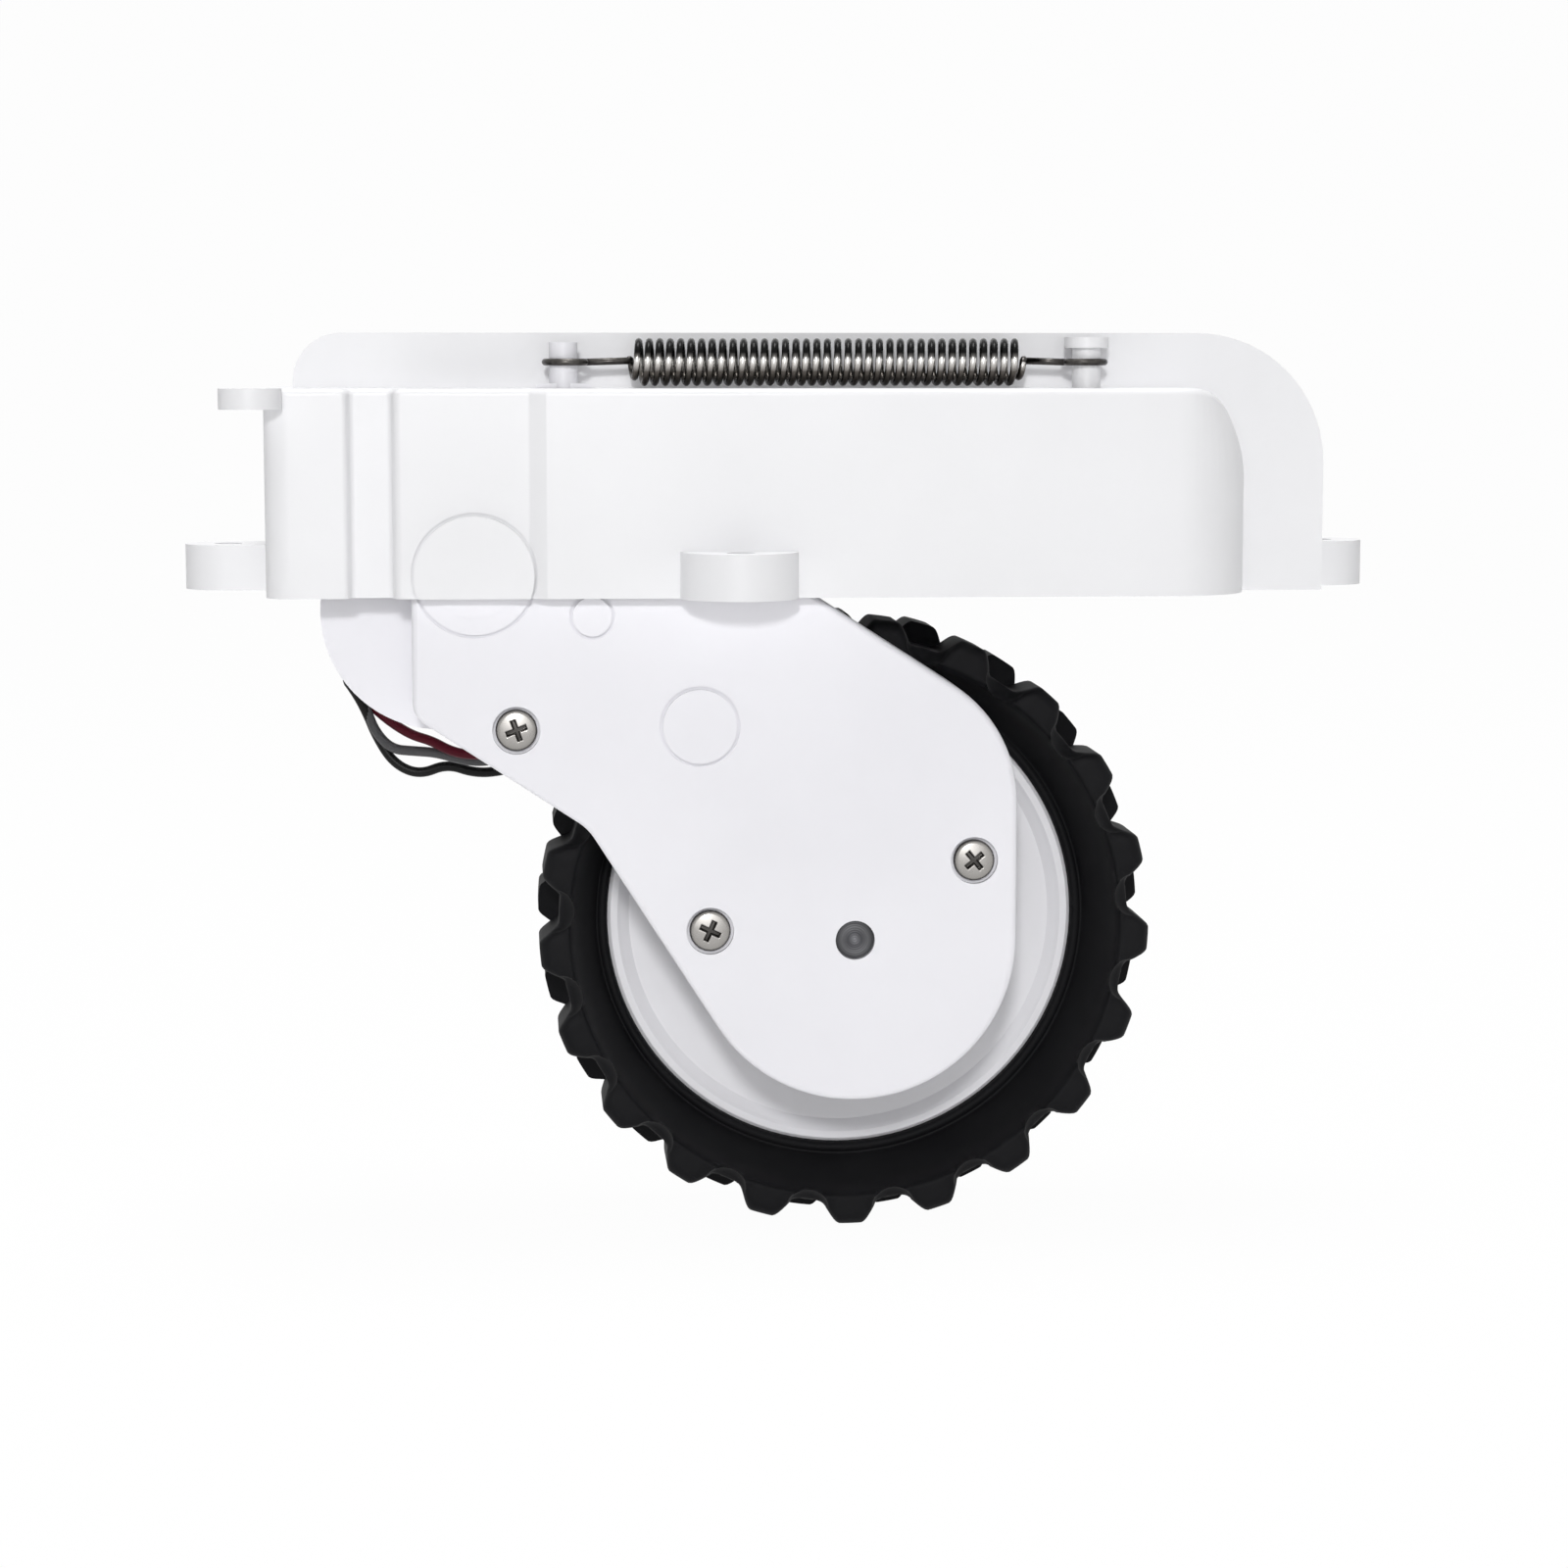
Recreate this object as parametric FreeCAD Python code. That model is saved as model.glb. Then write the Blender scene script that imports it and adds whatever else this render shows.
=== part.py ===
import FreeCAD, Part
import math
import os

from FreeCAD import Vector

# Wheel module of a floor-cleaning robot. Millimetres. +X is to the right in the side view, +Z is up,
# and -Y faces the viewer, where the gearbox cover is. The origin lies midway between the screw holes
# of the two side ears, on their underside.

# Housing: a front block over the gearbox, and a taller wheel well behind it
wall = 1.8
well_left = -59.0
well_right = 62.0
well_front = -13.0
well_rear = 17.0
well_top = 29.5
well_corner = 15.0
well_shoulder = 5.5
well_step = 3.0
well_edge = 2.4
block_top = 23.3
block_right = 52.3
block_corner = 9.0
block_edge = 0.8
main_front = -23.0
panel_front = -22.0
column_front = -21.0
groove_front = -19.4
bay_front = -20.7
bay_left = -43.65
left_corner = 3.0
groove_left = -49.8
groove_right = -44.8
panel_left = -44.4
panel_right = -29.5
main_left = -27.6
ear_stand_off = 2.5
ear_radius = 5.0
ear_height = 5.2
ear_hole = 1.6
front_ear_x = -6.2
front_ear_radius = 6.6
front_ear_hole_y = -26.0
eye_x = -60.2
eye_y = -21.4
eye_radius = 3.5
eye_hole = 1.1
eye_height = 2.3

# Swing arm: pivot, casing and cover
pivot_x = -35.7
pivot_z = 2.5
pivot_pin_radius = 2.0
pivot_seat_radius = 6.7
pivot_seat_height = 0.8
pivot_boss_radius = 4.0
rear_stub_radius = 3.0
swing_up = 30.0
cover_front = -20.0
cover_thickness = 1.6
cover_left = -42.8
casing_wall = 1.4
casing_back = -9.5
casing_top = 14.6
casing_slant_z = 5.5
casing_edge = 0.7
top_slope = 32.8
top_line_x = 3.0
top_line_z = -0.3
nose_radius = 18.6
nose_slope = 57.5
shoulder_radius = 16.0
belly_x = -23.2
belly_radius = 6.0
chin_z = -13.4
deep_back = -7.2
cover_screws_at = [(-31.2, -15.0), (-9.4, -38.1), (20.8, -30.3)]
screw_boss_radius = 2.8
screw_head_radius = 2.35
screw_head_height = 1.2
screw_shank_radius = 1.0
screw_sink = 0.9
cover_marks = [(-22.6, -2.2, 2.2), (-10.5, -14.7, 4.2)]
mark_height = 0.3
mark_groove = 0.35
pivot_ring_width = 1.8
cover_screw_length = 6.4

# Spring above the block, from a post on the arm's lever to a post on the housing
spring_y = -17.0
spring_z = 26.2
spring_wire = 0.4
spring_radius = 2.3
spring_pitch = 1.18
spring_turns = 38
spring_steps = 10
spring_start_x = -18.3
lever_post_x = -25.6
housing_post_x = 33.6
post_radius = 1.6
post_head_radius = 2.5
post_head = 1.2
post_top = 29.0
lever_thickness = 2.8
lever_width = 6.5
hook_radius = 2.35

# Motor, in a round pocket at the pivot end
motor_x = -39.8
motor_z = -2.0
motor_radius = 12.1
motor_rear = 7.2
bell_rear = 8.7
pocket_clearance = 0.15
pocket_wall = 1.25
pocket_front = -13.0
pocket_face = 1.2
pocket_rear = 12.5
cap_rear = 13.7
motor_shaft_radius = 1.0
motor_nose_radius = 3.0
terminal_reach = 7.0
motor_screw_circle = 8.0
motor_screw_angles = (100.0, 280.0)
board_front = 10.7
board_rear = 11.5
board_radius = 10.0
magnet_radius = 4.0
magnet_front = 9.1
magnet_rear = 10.2
lug_circle = 15.2
lug_radius = 2.6
lug_angles = (75.0, 20.0)
lug_length = 8.0
notch_angle = -135.0
notch_width = 6.2

# Gear train: teeth, module and the layers that the gears lie in, from the motor to the wheel
pressure_angle = 20.0
addendum = 0.85
dedendum = 1.2
backlash = 0.12
motor_teeth = 12
first_wheel_teeth = 48
first_pinion_teeth = 16
second_wheel_teeth = 48
second_pinion_teeth = 16
third_wheel_teeth = 44
third_pinion_teeth = 15
output_teeth = 30
fine_module = 0.5
middle_module = 0.6
coarse_module = 0.8
first_layer = (-10.9, -8.9)
second_layer = (-13.0, -11.2)
third_layer = (-15.3, -13.3)
fourth_layer = (-18.1, -15.6)
gear_angles = (10.0, -52.0, -39.5, -62.0)
gear_pin_radius = 1.0
gear_hub_radius = 2.2
gear_float = 0.2
pinion_overhang = 0.2
pin_depth = 0.8

# Wheel
axle_radius = 2.5
axle_journal_radius = 2.2
axle_front = -19.3
axle_rear = 6.0
hub_screw_bore = 6.0
bearing_radius = 4.6
bearing_length = 3.0
bearing_boss_radius = 6.2
hub_radius = 27.8
hub_face = 0.9
hub_lip = 0.0
hub_rear = 10.0
tyre_thickness = 8.2
tyre_front = -9.2
tyre_rear = 11.0
tyre_shoulder = 1.8
bead_width = 1.2
bead_front = -0.9
sidewall_slope_width = 3.2
lug_count = 21
lug_phase = -3.3
lug_height = 2.4
lug_base = 6.8
lug_crown = 4.4
lug_tip = 2.6
scoop_radius = 2.6
hub_skin = 2.0
hub_boss_radius = 6.0
hub_ribs = 6
rib_thickness = 1.4

# Leads and their plug
lead_radius = 0.6
lead_circle = 14.4
lead_pitch = 1.25
lead_spread = 8.0
lead_slack = 1.4
lead_slack_step = 0.6
lead_dip = 6.0
lead_steps = 8
plug_x = -19.8
plug_pitch = 1.8
plug_width = 6.4
plug_depth = 6.0
plug_bottom = 12.5
plug_top = 19.5
clip_wall = 1.2

# Clearances
running = 0.05
seat = 0.02
swing_gap = 0.3

UP = Vector(0, 0, 1)
BACK = Vector(0, 1, 0)
bay_top = block_top - wall
cover_back = cover_front + cover_thickness
cavity_back = casing_back - casing_wall
deep_floor = deep_back - casing_wall
rear_wall_front = well_rear - wall
ear_reach = well_right + ear_stand_off
tyre_radius = hub_radius + tyre_thickness
plug_y = rear_wall_front - seat - plug_depth / 2


def side(a, b, offset):
    return Vector(a, offset, b)


def plan(a, b, offset):
    return Vector(a, b, offset)


def outline(corners, place, offset):
    # A closed wire through the corners (a, b, radius), each rounded by an arc tangent to its two sides
    edges = []
    joints = []
    for index, (a, b, radius) in enumerate(corners):
        here = Vector(a, b, 0)
        before = Vector(*corners[index - 1][:2], 0) - here
        after = Vector(*corners[(index + 1) % len(corners)][:2], 0) - here
        before.normalize()
        after.normalize()
        half = before.getAngle(after) / 2
        reach = radius / math.tan(half)
        middle = before + after
        middle.normalize()
        waist = middle * (radius / math.sin(half) - radius)
        joints.append((here + before * reach, here + waist, here + after * reach, radius))
    for index, (start, waist, end, radius) in enumerate(joints):
        previous = joints[index - 1][2]
        if (start - previous).Length > 1e-6:
            ends = [place(point.x, point.y, offset) for point in (previous, start)]
            edges.append(Part.LineSegment(*ends))
        if radius > 0:
            points = [place(point.x, point.y, offset) for point in (start, waist, end)]
            edges.append(Part.Arc(*points))
    return Part.Wire([edge.toShape() for edge in edges])


def side_prism(corners, front, back):
    # A side-view outline carried from front to back along Y
    return Part.Face(outline(corners, side, front)).extrude(BACK * (back - front))


def plan_prism(corners, bottom, top):
    # A top-view outline carried from bottom to top along Z
    return Part.Face(outline(corners, plan, bottom)).extrude(UP * (top - bottom))


def rod(radius, x, z, front, back):
    return Part.makeCylinder(radius, back - front, Vector(x, front, z), BACK)


def ring(outer, inner, x, z, front, back):
    return rod(outer, x, z, front, back).cut(rod(inner, x, z, front, back))


def post(radius, x, y, bottom, top):
    return Part.makeCylinder(radius, top - bottom, Vector(x, y, bottom), UP)


def box(low, high):
    size = Vector(*high) - Vector(*low)
    return Part.makeBox(size.x, size.y, size.z, Vector(*low))


def joined(first, *others):
    return first.multiFuse(list(others)).removeSplitter()


def polar(x, z, distance, degrees):
    turn = math.radians(degrees)
    return x + distance * math.cos(turn), z + distance * math.sin(turn)


def turned(profile, x, z):
    # A closed profile of (radius, y) points turned about the Y axis through x, z
    points = [Vector(x + radius, y, z) for radius, y in profile]
    face = Part.Face(Part.makePolygon(points + points[:1]))
    return face.revolve(Vector(x, 0, z), BACK, 360)


def rounded_edges(shape, radius, wanted):
    return shape.makeFillet(radius, [edge for edge in shape.Edges if wanted(edge)])


def lies_at(edge, axis, value):
    low = getattr(edge.BoundBox, axis + "Min")
    high = getattr(edge.BoundBox, axis + "Max")
    return abs(low - value) < 1e-4 and abs(high - value) < 1e-4


def write(name, shape):
    solids = shape.Solids
    result = solids[0] if len(solids) == 1 else Part.makeCompound(solids)
    result.exportStep("parts/" + name + ".step")
    print(name, len(solids), "solids", round(result.Volume, 1), "mm3", "valid", result.isValid())


def centre_distance(teeth_a, teeth_b, module):
    return (teeth_a + teeth_b) * module / 2


# Gear centres, each at its centre distance from the one before; the train ends at the wheel's axle
reaches = (
    centre_distance(motor_teeth, first_wheel_teeth, fine_module),
    centre_distance(first_pinion_teeth, second_wheel_teeth, fine_module),
    centre_distance(second_pinion_teeth, third_wheel_teeth, middle_module),
    centre_distance(third_pinion_teeth, output_teeth, coarse_module),
)
motor_centre = (motor_x, motor_z)
first_centre = polar(*motor_centre, reaches[0], gear_angles[0])
second_centre = polar(*first_centre, reaches[1], gear_angles[1])
third_centre = polar(*second_centre, reaches[2], gear_angles[2])
wheel_centre = polar(*third_centre, reaches[3], gear_angles[3])
wheel_x, wheel_z = wheel_centre


def facing(centre, other):
    # The angle at which a gear looks at its neighbour
    return math.degrees(math.atan2(other[1] - centre[1], other[0] - centre[0]))


def gap_facing(centre, other, teeth):
    # The same with the first tooth turned half a pitch aside, so that a gap meets the neighbour's tooth
    return facing(centre, other) + 180 / teeth


def toothed(teeth, module, centre, layer, first_tooth):
    # A spur gear with involute flanks, one tooth of which is centred on the angle first_tooth
    pitch = teeth * module / 2
    base = pitch * math.cos(math.radians(pressure_angle))
    tip = pitch + addendum * module
    root = pitch - dedendum * module
    half_at_pitch = math.pi / (2 * teeth) - backlash * module / (2 * pitch)

    def involute(radius):
        slope = math.acos(min(1.0, base / radius))
        return math.tan(slope) - slope

    def half_width(radius):
        return half_at_pitch + involute(pitch) - involute(max(radius, base))

    flank = [(root, half_width(root) * 0.95), (pitch, half_at_pitch), (tip, half_width(tip))]
    points = []
    for tooth in range(teeth):
        middle = math.radians(first_tooth) + 2 * math.pi * tooth / teeth
        for radius, half in flank:
            points.append((radius, middle - half))
        for radius, half in reversed(flank):
            points.append((radius, middle + half))
    corners = [
        Vector(centre[0] + radius * math.cos(turn), layer[0], centre[1] + radius * math.sin(turn))
        for radius, turn in points
    ]
    return Part.Face(Part.makePolygon(corners + corners[:1])).extrude(BACK * (layer[1] - layer[0]))


def compound_gear(centre, wheel, pinion, hub_front, hub_back):
    hub = rod(gear_hub_radius, *centre, hub_front, hub_back)
    bore = rod(gear_pin_radius + running, *centre, hub_front - 1, hub_back + 1)
    return joined(wheel, pinion, hub).cut(bore)


# Housing
def well_profile(inset):
    return [
        (well_left + inset, -inset, 0),
        (well_right - inset, -inset, 0),
        (well_right - inset, well_top - inset, well_corner - inset),
        (well_left + well_step + inset, well_top - inset, well_shoulder - inset / 2),
        (well_left + well_step + inset, block_top - inset, 0),
        (well_left + inset, block_top - inset, 0),
    ]


def housing_shell():
    block = plan_prism(
        [
            (well_left, well_front + 4, 0),
            (well_left, column_front, left_corner),
            (groove_left, column_front, 0.6),
            (groove_left + 0.5, groove_front, 0.6),
            (groove_right, groove_front, 0.6),
            (panel_left, panel_front, 0.9),
            (panel_right, panel_front, 0.5),
            (main_left, main_front, 0.5),
            (block_right, main_front, block_corner),
            (block_right, well_front + 4, 0),
        ],
        0,
        block_top,
    )
    block = rounded_edges(block, block_edge, lambda edge: lies_at(edge, "Z", block_top)
                          and edge.BoundBox.YMax < well_front + 3.9)
    well = side_prism(well_profile(0), well_front, well_rear)
    well = rounded_edges(well, well_edge, lambda edge: lies_at(edge, "Y", well_rear)
                         and edge.BoundBox.ZMax > 0.1
                         and edge.BoundBox.XMin > well_left + well_step - 0.01)
    return joined(block, well)


def housing_hollow():
    bay = plan_prism(
        [
            (well_left + wall, 0, 0),
            (well_left + wall, groove_front + wall, 0),
            (bay_left, groove_front + wall, 0),
            (bay_left, bay_front, 0),
            (block_right - wall, bay_front, block_corner - wall),
            (block_right - wall, 0, 0),
        ],
        -wall,
        bay_top,
    )
    well = side_prism(well_profile(wall), well_front + wall, rear_wall_front)
    return joined(bay, well)


def swung(x, z, degrees):
    # Where a point of the arm goes when the wheel swings up by that angle
    turn = math.radians(degrees)
    dx = x - pivot_x
    dz = z - pivot_z
    return (
        pivot_x + dx * math.cos(turn) - dz * math.sin(turn),
        pivot_z + dx * math.sin(turn) + dz * math.cos(turn),
    )


def side_ear(direction):
    hole_x = direction * ear_reach
    wall_x = well_left if direction < 0 else well_right
    tab = box(
        (min(hole_x, wall_x - direction), -ear_radius, 0),
        (max(hole_x, wall_x - direction), ear_radius, ear_height),
    )
    return joined(post(ear_radius, hole_x, 0, 0, ear_height), tab)


def housing():
    shell = joined(
        housing_shell(),
        side_ear(-1),
        side_ear(1),
        post(front_ear_radius, front_ear_x, main_front, 0, ear_height),
        post(eye_radius, eye_x, eye_y, block_top - eye_height, block_top),
        rod(pivot_seat_radius, pivot_x, pivot_z, panel_front - pivot_seat_height, panel_front + 0.5),
    )
    body = shell.cut(housing_hollow())
    below = box((well_left, main_front - wall, -pivot_seat_radius), (well_right, well_rear, 0))
    lever_left = swung(lever_post_x - lever_width / 2, block_top, swing_up)[0]
    slot_half = lever_thickness / 2 + swing_gap
    slot = box(
        (lever_left - 3.6, spring_y - slot_half, bay_top - 1),
        (lever_post_x + lever_width / 2 + swing_gap, spring_y + slot_half, block_top + 1),
    )
    cuts = [
        below,
        slot,
        ring(pivot_seat_radius + mark_groove, pivot_seat_radius, pivot_x, pivot_z,
             main_front - 1, panel_front + mark_height),
        post(ear_hole, -ear_reach, 0, -1, ear_height + 1),
        post(ear_hole, ear_reach, 0, -1, ear_height + 1),
        post(ear_hole, front_ear_x, front_ear_hole_y, -1, ear_height + 1),
        post(eye_hole, eye_x, eye_y, block_top - eye_height - 1, block_top + 1),
        rod(pivot_pin_radius + seat, pivot_x, pivot_z, panel_front, bay_front + 1),
        rod(rear_stub_radius + running, pivot_x, pivot_z, rear_wall_front - 1, well_rear + 1),
    ]
    for cut in cuts:
        body = body.cut(cut)
    spring_post = joined(
        post(post_radius, housing_post_x, spring_y, bay_top + 0.5, post_top),
        post(post_head_radius, housing_post_x, spring_y, post_top - post_head, post_top),
    )
    return joined(body, spring_post, *plug_clip())


def plug_clip():
    # Two walls that stand forward from the rear wall, one at each side of the plug
    walls = []
    for direction in (-1, 1):
        face = plug_x + direction * (plug_width / 2 + seat)
        low, high = sorted((face, face + direction * clip_wall))
        walls.append(box(
            (low, plug_y - plug_depth / 2, plug_bottom + 1),
            (high, rear_wall_front + 0.5, plug_top),
        ))
    return walls


# Swing arm
def casing_prism(inset, front, back):
    # The casing in side view: flat top, sloping upper edge, round nose about the axle, and a hollow
    # lower edge. Its upper left corner is slanted to stand upright once the arm is swung right up.
    upper = math.tan(math.radians(top_slope))
    slant = math.tan(math.radians(swing_up))
    nose_x = wheel_x + nose_radius
    half_turn = (90 + nose_slope) / 4
    corner_reach = nose_radius / math.cos(math.radians(half_turn))
    low_left = polar(wheel_x, wheel_z, corner_reach, -3 * half_turn)
    low_right = polar(wheel_x, wheel_z, corner_reach, -half_turn)
    across = math.radians(-90 - nose_slope)
    belly_z = wheel_z + (nose_radius - math.cos(across) * (belly_x - wheel_x)) / math.sin(across)
    corners = [
        (cover_left + (casing_top - casing_slant_z) * slant, casing_top, 3.0),
        (cover_left, casing_slant_z, 4.0),
        (cover_left, chin_z, 3.0),
        (belly_x, belly_z, belly_radius),
        (*low_left, nose_radius),
        (*low_right, nose_radius),
        (nose_x, top_line_z - (nose_x - top_line_x) * upper, shoulder_radius),
        (top_line_x + (top_line_z - casing_top) / upper, casing_top, 12.0),
    ]
    face = Part.Face(outline(corners, side, front))
    if inset > 0:
        face = face.makeOffset2D(-inset)
    return face.extrude(BACK * (back - front))


def lever():
    # A flat finger from the casing's top up through the housing's slot, with the spring's post on it
    foot_x = pivot_x + 1.0
    foot_z = casing_top - 3
    top_z = spring_z - hook_radius / 2 - 1.2
    finger = side_prism(
        [
            (foot_x - 4, foot_z, 0),
            (foot_x + 12, foot_z, 0),
            (lever_post_x + lever_width / 2, top_z - 4, 1.0),
            (lever_post_x + lever_width / 2, top_z, 0.8),
            (lever_post_x - lever_width / 2, top_z, 0.8),
            (lever_post_x - lever_width / 2, top_z - 4, 1.0),
        ],
        spring_y - lever_thickness / 2,
        spring_y + lever_thickness / 2,
    )
    spring_post = post(post_radius, lever_post_x, spring_y, top_z - 1, post_top - post_head / 2)
    return joined(finger, spring_post)


def gearbox_case():
    deep_radius = centre_distance(first_wheel_teeth, 0, fine_module) + 1.0
    pocket = motor_radius + pocket_clearance
    shell = joined(
        casing_prism(0, cover_back, casing_back),
        rod(deep_radius + casing_wall, *first_centre, casing_back - 1, deep_back),
        rod(pocket + pocket_wall, motor_x, motor_z, pocket_front, pocket_rear),
        *[rod(lug_radius, *polar(*motor_centre, lug_circle, angle), pocket_rear - lug_length, pocket_rear)
          for angle in lug_angles],
    )
    hollow = joined(
        casing_prism(casing_wall, cover_back, cavity_back),
        rod(deep_radius, *first_centre, cavity_back - 1, deep_floor),
    )
    pinion_room = rod(motor_screw_circle + 2.6, motor_x, motor_z, pocket_front + pocket_face, deep_floor)
    body = shell.cut(hollow).cut(pinion_room)
    body = body.cut(rod(pocket, motor_x, motor_z, deep_back, pocket_rear + 1))
    bosses = [
        rod(screw_boss_radius, x, z, cover_back, casing_back - 0.5)
        for x, z in cover_screws_at
    ]
    bosses.append(rod(bearing_boss_radius, *wheel_centre, casing_back - bearing_length - 0.3, casing_back))
    body = joined(body, *bosses)
    cuts = [
        rod(screw_shank_radius + seat, x, z, cover_back - 1, casing_back - 1.2)
        for x, z in cover_screws_at
    ]
    cuts += [
        rod(bearing_radius + seat, *wheel_centre, casing_back - bearing_length - 1, casing_back + 1),
        rod(motor_nose_radius + seat, motor_x, motor_z, deep_floor - 1, deep_back + 1),
        rod(gear_pin_radius + seat, *first_centre, deep_floor - 1, deep_floor + pin_depth),
        rod(gear_pin_radius + seat, *second_centre, cavity_back - 1, cavity_back + pin_depth),
        rod(gear_pin_radius + seat, *third_centre, cavity_back - 1, cavity_back + pin_depth),
    ]
    for angle in motor_screw_angles:
        cuts.append(rod(screw_shank_radius + seat, *polar(*motor_centre, motor_screw_circle, angle),
                        deep_floor - 1, deep_back + 1))
    for angle in lug_angles:
        cuts.append(rod(screw_shank_radius + seat, *polar(*motor_centre, lug_circle, angle),
                        pocket_rear - lug_length + 1, pocket_rear + 1))
    cuts.append(lead_notch())
    for cut in cuts:
        body = body.cut(cut)
    return joined(body, lever())


def lead_notch():
    # The gap in the pocket's rear rim that lets the three leads out
    notch = box(
        (motor_x + board_radius - 0.5, board_front - 0.9, motor_z - notch_width / 2),
        (motor_x + lug_circle, pocket_rear + 0.3, motor_z + notch_width / 2),
    )
    notch.rotate(Vector(motor_x, 0, motor_z), BACK, -notch_angle)
    return notch


def gearbox_cover():
    plate = casing_prism(0, cover_front, cover_back)
    plate = rounded_edges(plate, casing_edge, lambda edge: lies_at(edge, "Y", cover_front))
    marks = [(pivot_x, pivot_z, pivot_seat_radius - pivot_ring_width)] + cover_marks
    raised = [rod(pivot_seat_radius, pivot_x, pivot_z, cover_front - mark_height / 2, cover_front + 0.5)]
    for x, z, radius in marks:
        raised.append(rod(radius, x, z, cover_front - mark_height, cover_front + 0.5))
    raised.append(rod(pivot_boss_radius, pivot_x, pivot_z, cover_back - 0.5, second_layer[1] - 0.6))
    body = joined(plate, *raised)
    cuts = [
        ring(radius + mark_groove, radius, x, z, cover_front - 1, cover_front + mark_height)
        for x, z, radius in cover_marks + [(pivot_x, pivot_z, pivot_seat_radius)]
    ]
    cuts += [
        rod(pivot_pin_radius + running, pivot_x, pivot_z, cover_front - 1, second_layer[1]),
        rod(axle_journal_radius + running, *wheel_centre, cover_front - 1, cover_back + 1),
    ]
    for centre in (first_centre, second_centre, third_centre):
        cuts.append(rod(gear_pin_radius + seat, *centre, cover_back - pin_depth, cover_back + 1))
    for x, z in cover_screws_at:
        cuts.append(rod(screw_shank_radius + 0.2, x, z, cover_front - 1, cover_back + 1))
        cuts.append(rod(screw_head_radius + 0.35, x, z, cover_front - 1, cover_front + screw_sink))
    for cut in cuts:
        body = body.cut(cut)
    return body


def pan_screw(x, z, seat_y, length, direction=1):
    # A domed head on a plain shank, with a cross recess; direction 1 points its shank along +Y
    head = screw_head_height
    dome = Part.makeSphere(screw_head_radius * 1.5, Vector(0, screw_head_radius * 1.5, 0))
    disc = rod(screw_head_radius, 0, 0, 0, head)
    shape = joined(disc.common(dome), rod(screw_shank_radius, 0, 0, head - 0.1, head + length))
    for size in ((1.3, 0.25), (0.25, 1.3)):
        shape = shape.cut(box((-size[0], -0.1, -size[1]), (size[0], 0.7, size[1])))
    if direction < 0:
        shape.rotate(Vector(0, 0, 0), UP, 180)
    shape.translate(Vector(x, seat_y - direction * head, z))
    return shape


def cover_screws():
    return Part.makeCompound([
        pan_screw(x, z, cover_front + screw_sink, cover_screw_length) for x, z in cover_screws_at
    ])


def motor_can():
    can = rod(motor_radius, motor_x, motor_z, deep_back, motor_rear)
    can = rounded_edges(can, 1.0, lambda edge: lies_at(edge, "Y", deep_back))
    can = joined(can, rod(motor_nose_radius, motor_x, motor_z, deep_back - 1.0, deep_back + 0.5))
    can = can.cut(rod(motor_shaft_radius + running, motor_x, motor_z, deep_back - 2, motor_rear + 1))
    for angle in motor_screw_angles:
        can = can.cut(rod(screw_shank_radius + seat, *polar(*motor_centre, motor_screw_circle, angle),
                          deep_back - 1, deep_back + 4))
    return can


def motor_end_bell():
    bell = rod(motor_radius - 0.4, motor_x, motor_z, motor_rear, bell_rear)
    return bell.cut(rod(motor_shaft_radius + running, motor_x, motor_z, motor_rear - 1, bell_rear + 1))


def terminal_box(direction, spare, front, back):
    middle = motor_x + direction * terminal_reach
    return box(
        (middle - 0.3 - spare, front, motor_z - 1.1 - spare),
        (middle + 0.3 + spare, back, motor_z + 1.1 + spare),
    )


def motor_terminals():
    return Part.makeCompound([
        terminal_box(direction, 0, bell_rear, board_rear + 0.3) for direction in (-1, 1)
    ])


def encoder_board():
    board = rod(board_radius, motor_x, motor_z, board_front, board_rear)
    for direction in (-1, 1):
        board = board.cut(terminal_box(direction, seat, board_front - 1, board_rear + 1))
    return board


def motor_cap():
    pocket = motor_radius + pocket_clearance
    parts = [
        rod(pocket + pocket_wall, motor_x, motor_z, pocket_rear, cap_rear),
        ring(pocket - seat, pocket - 1.2, motor_x, motor_z, board_rear + 0.1, pocket_rear + 0.2),
        rod(rear_stub_radius, pivot_x, pivot_z, pocket_rear + 0.5, well_rear - 0.2),
    ]
    parts += [rod(lug_radius, *polar(*motor_centre, lug_circle, angle), pocket_rear, cap_rear)
              for angle in lug_angles]
    cap = joined(*parts).cut(lead_notch())
    for angle in lug_angles:
        cap = cap.cut(rod(screw_shank_radius + 0.2, *polar(*motor_centre, lug_circle, angle),
                          pocket_rear - 1, cap_rear + 1))
    return cap


# Wheel
def tyre_row(front, back, offset):
    # One row of lugs: a ring whose rim steps between the tread floor and the lug tips
    floor = tyre_radius - lug_height
    pitch = 2 * math.pi / lug_count
    flank = [
        (floor, lug_base / 2),
        (tyre_radius - lug_height / 4, lug_crown / 2),
        (tyre_radius, lug_tip / 2),
    ]
    points = []
    for lug in range(lug_count):
        middle = math.radians(lug_phase) + (lug + offset) * pitch
        for radius, half in flank:
            points.append((radius, middle - half / radius))
        for radius, half in reversed(flank):
            points.append((radius, middle + half / radius))
        points.append((floor, middle + pitch / 2))
    corners = [
        Vector(wheel_x + radius * math.cos(turn), front, wheel_z + radius * math.sin(turn))
        for radius, turn in points
    ]
    return Part.Face(Part.makePolygon(corners + corners[:1])).extrude(BACK * (back - front))


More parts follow.
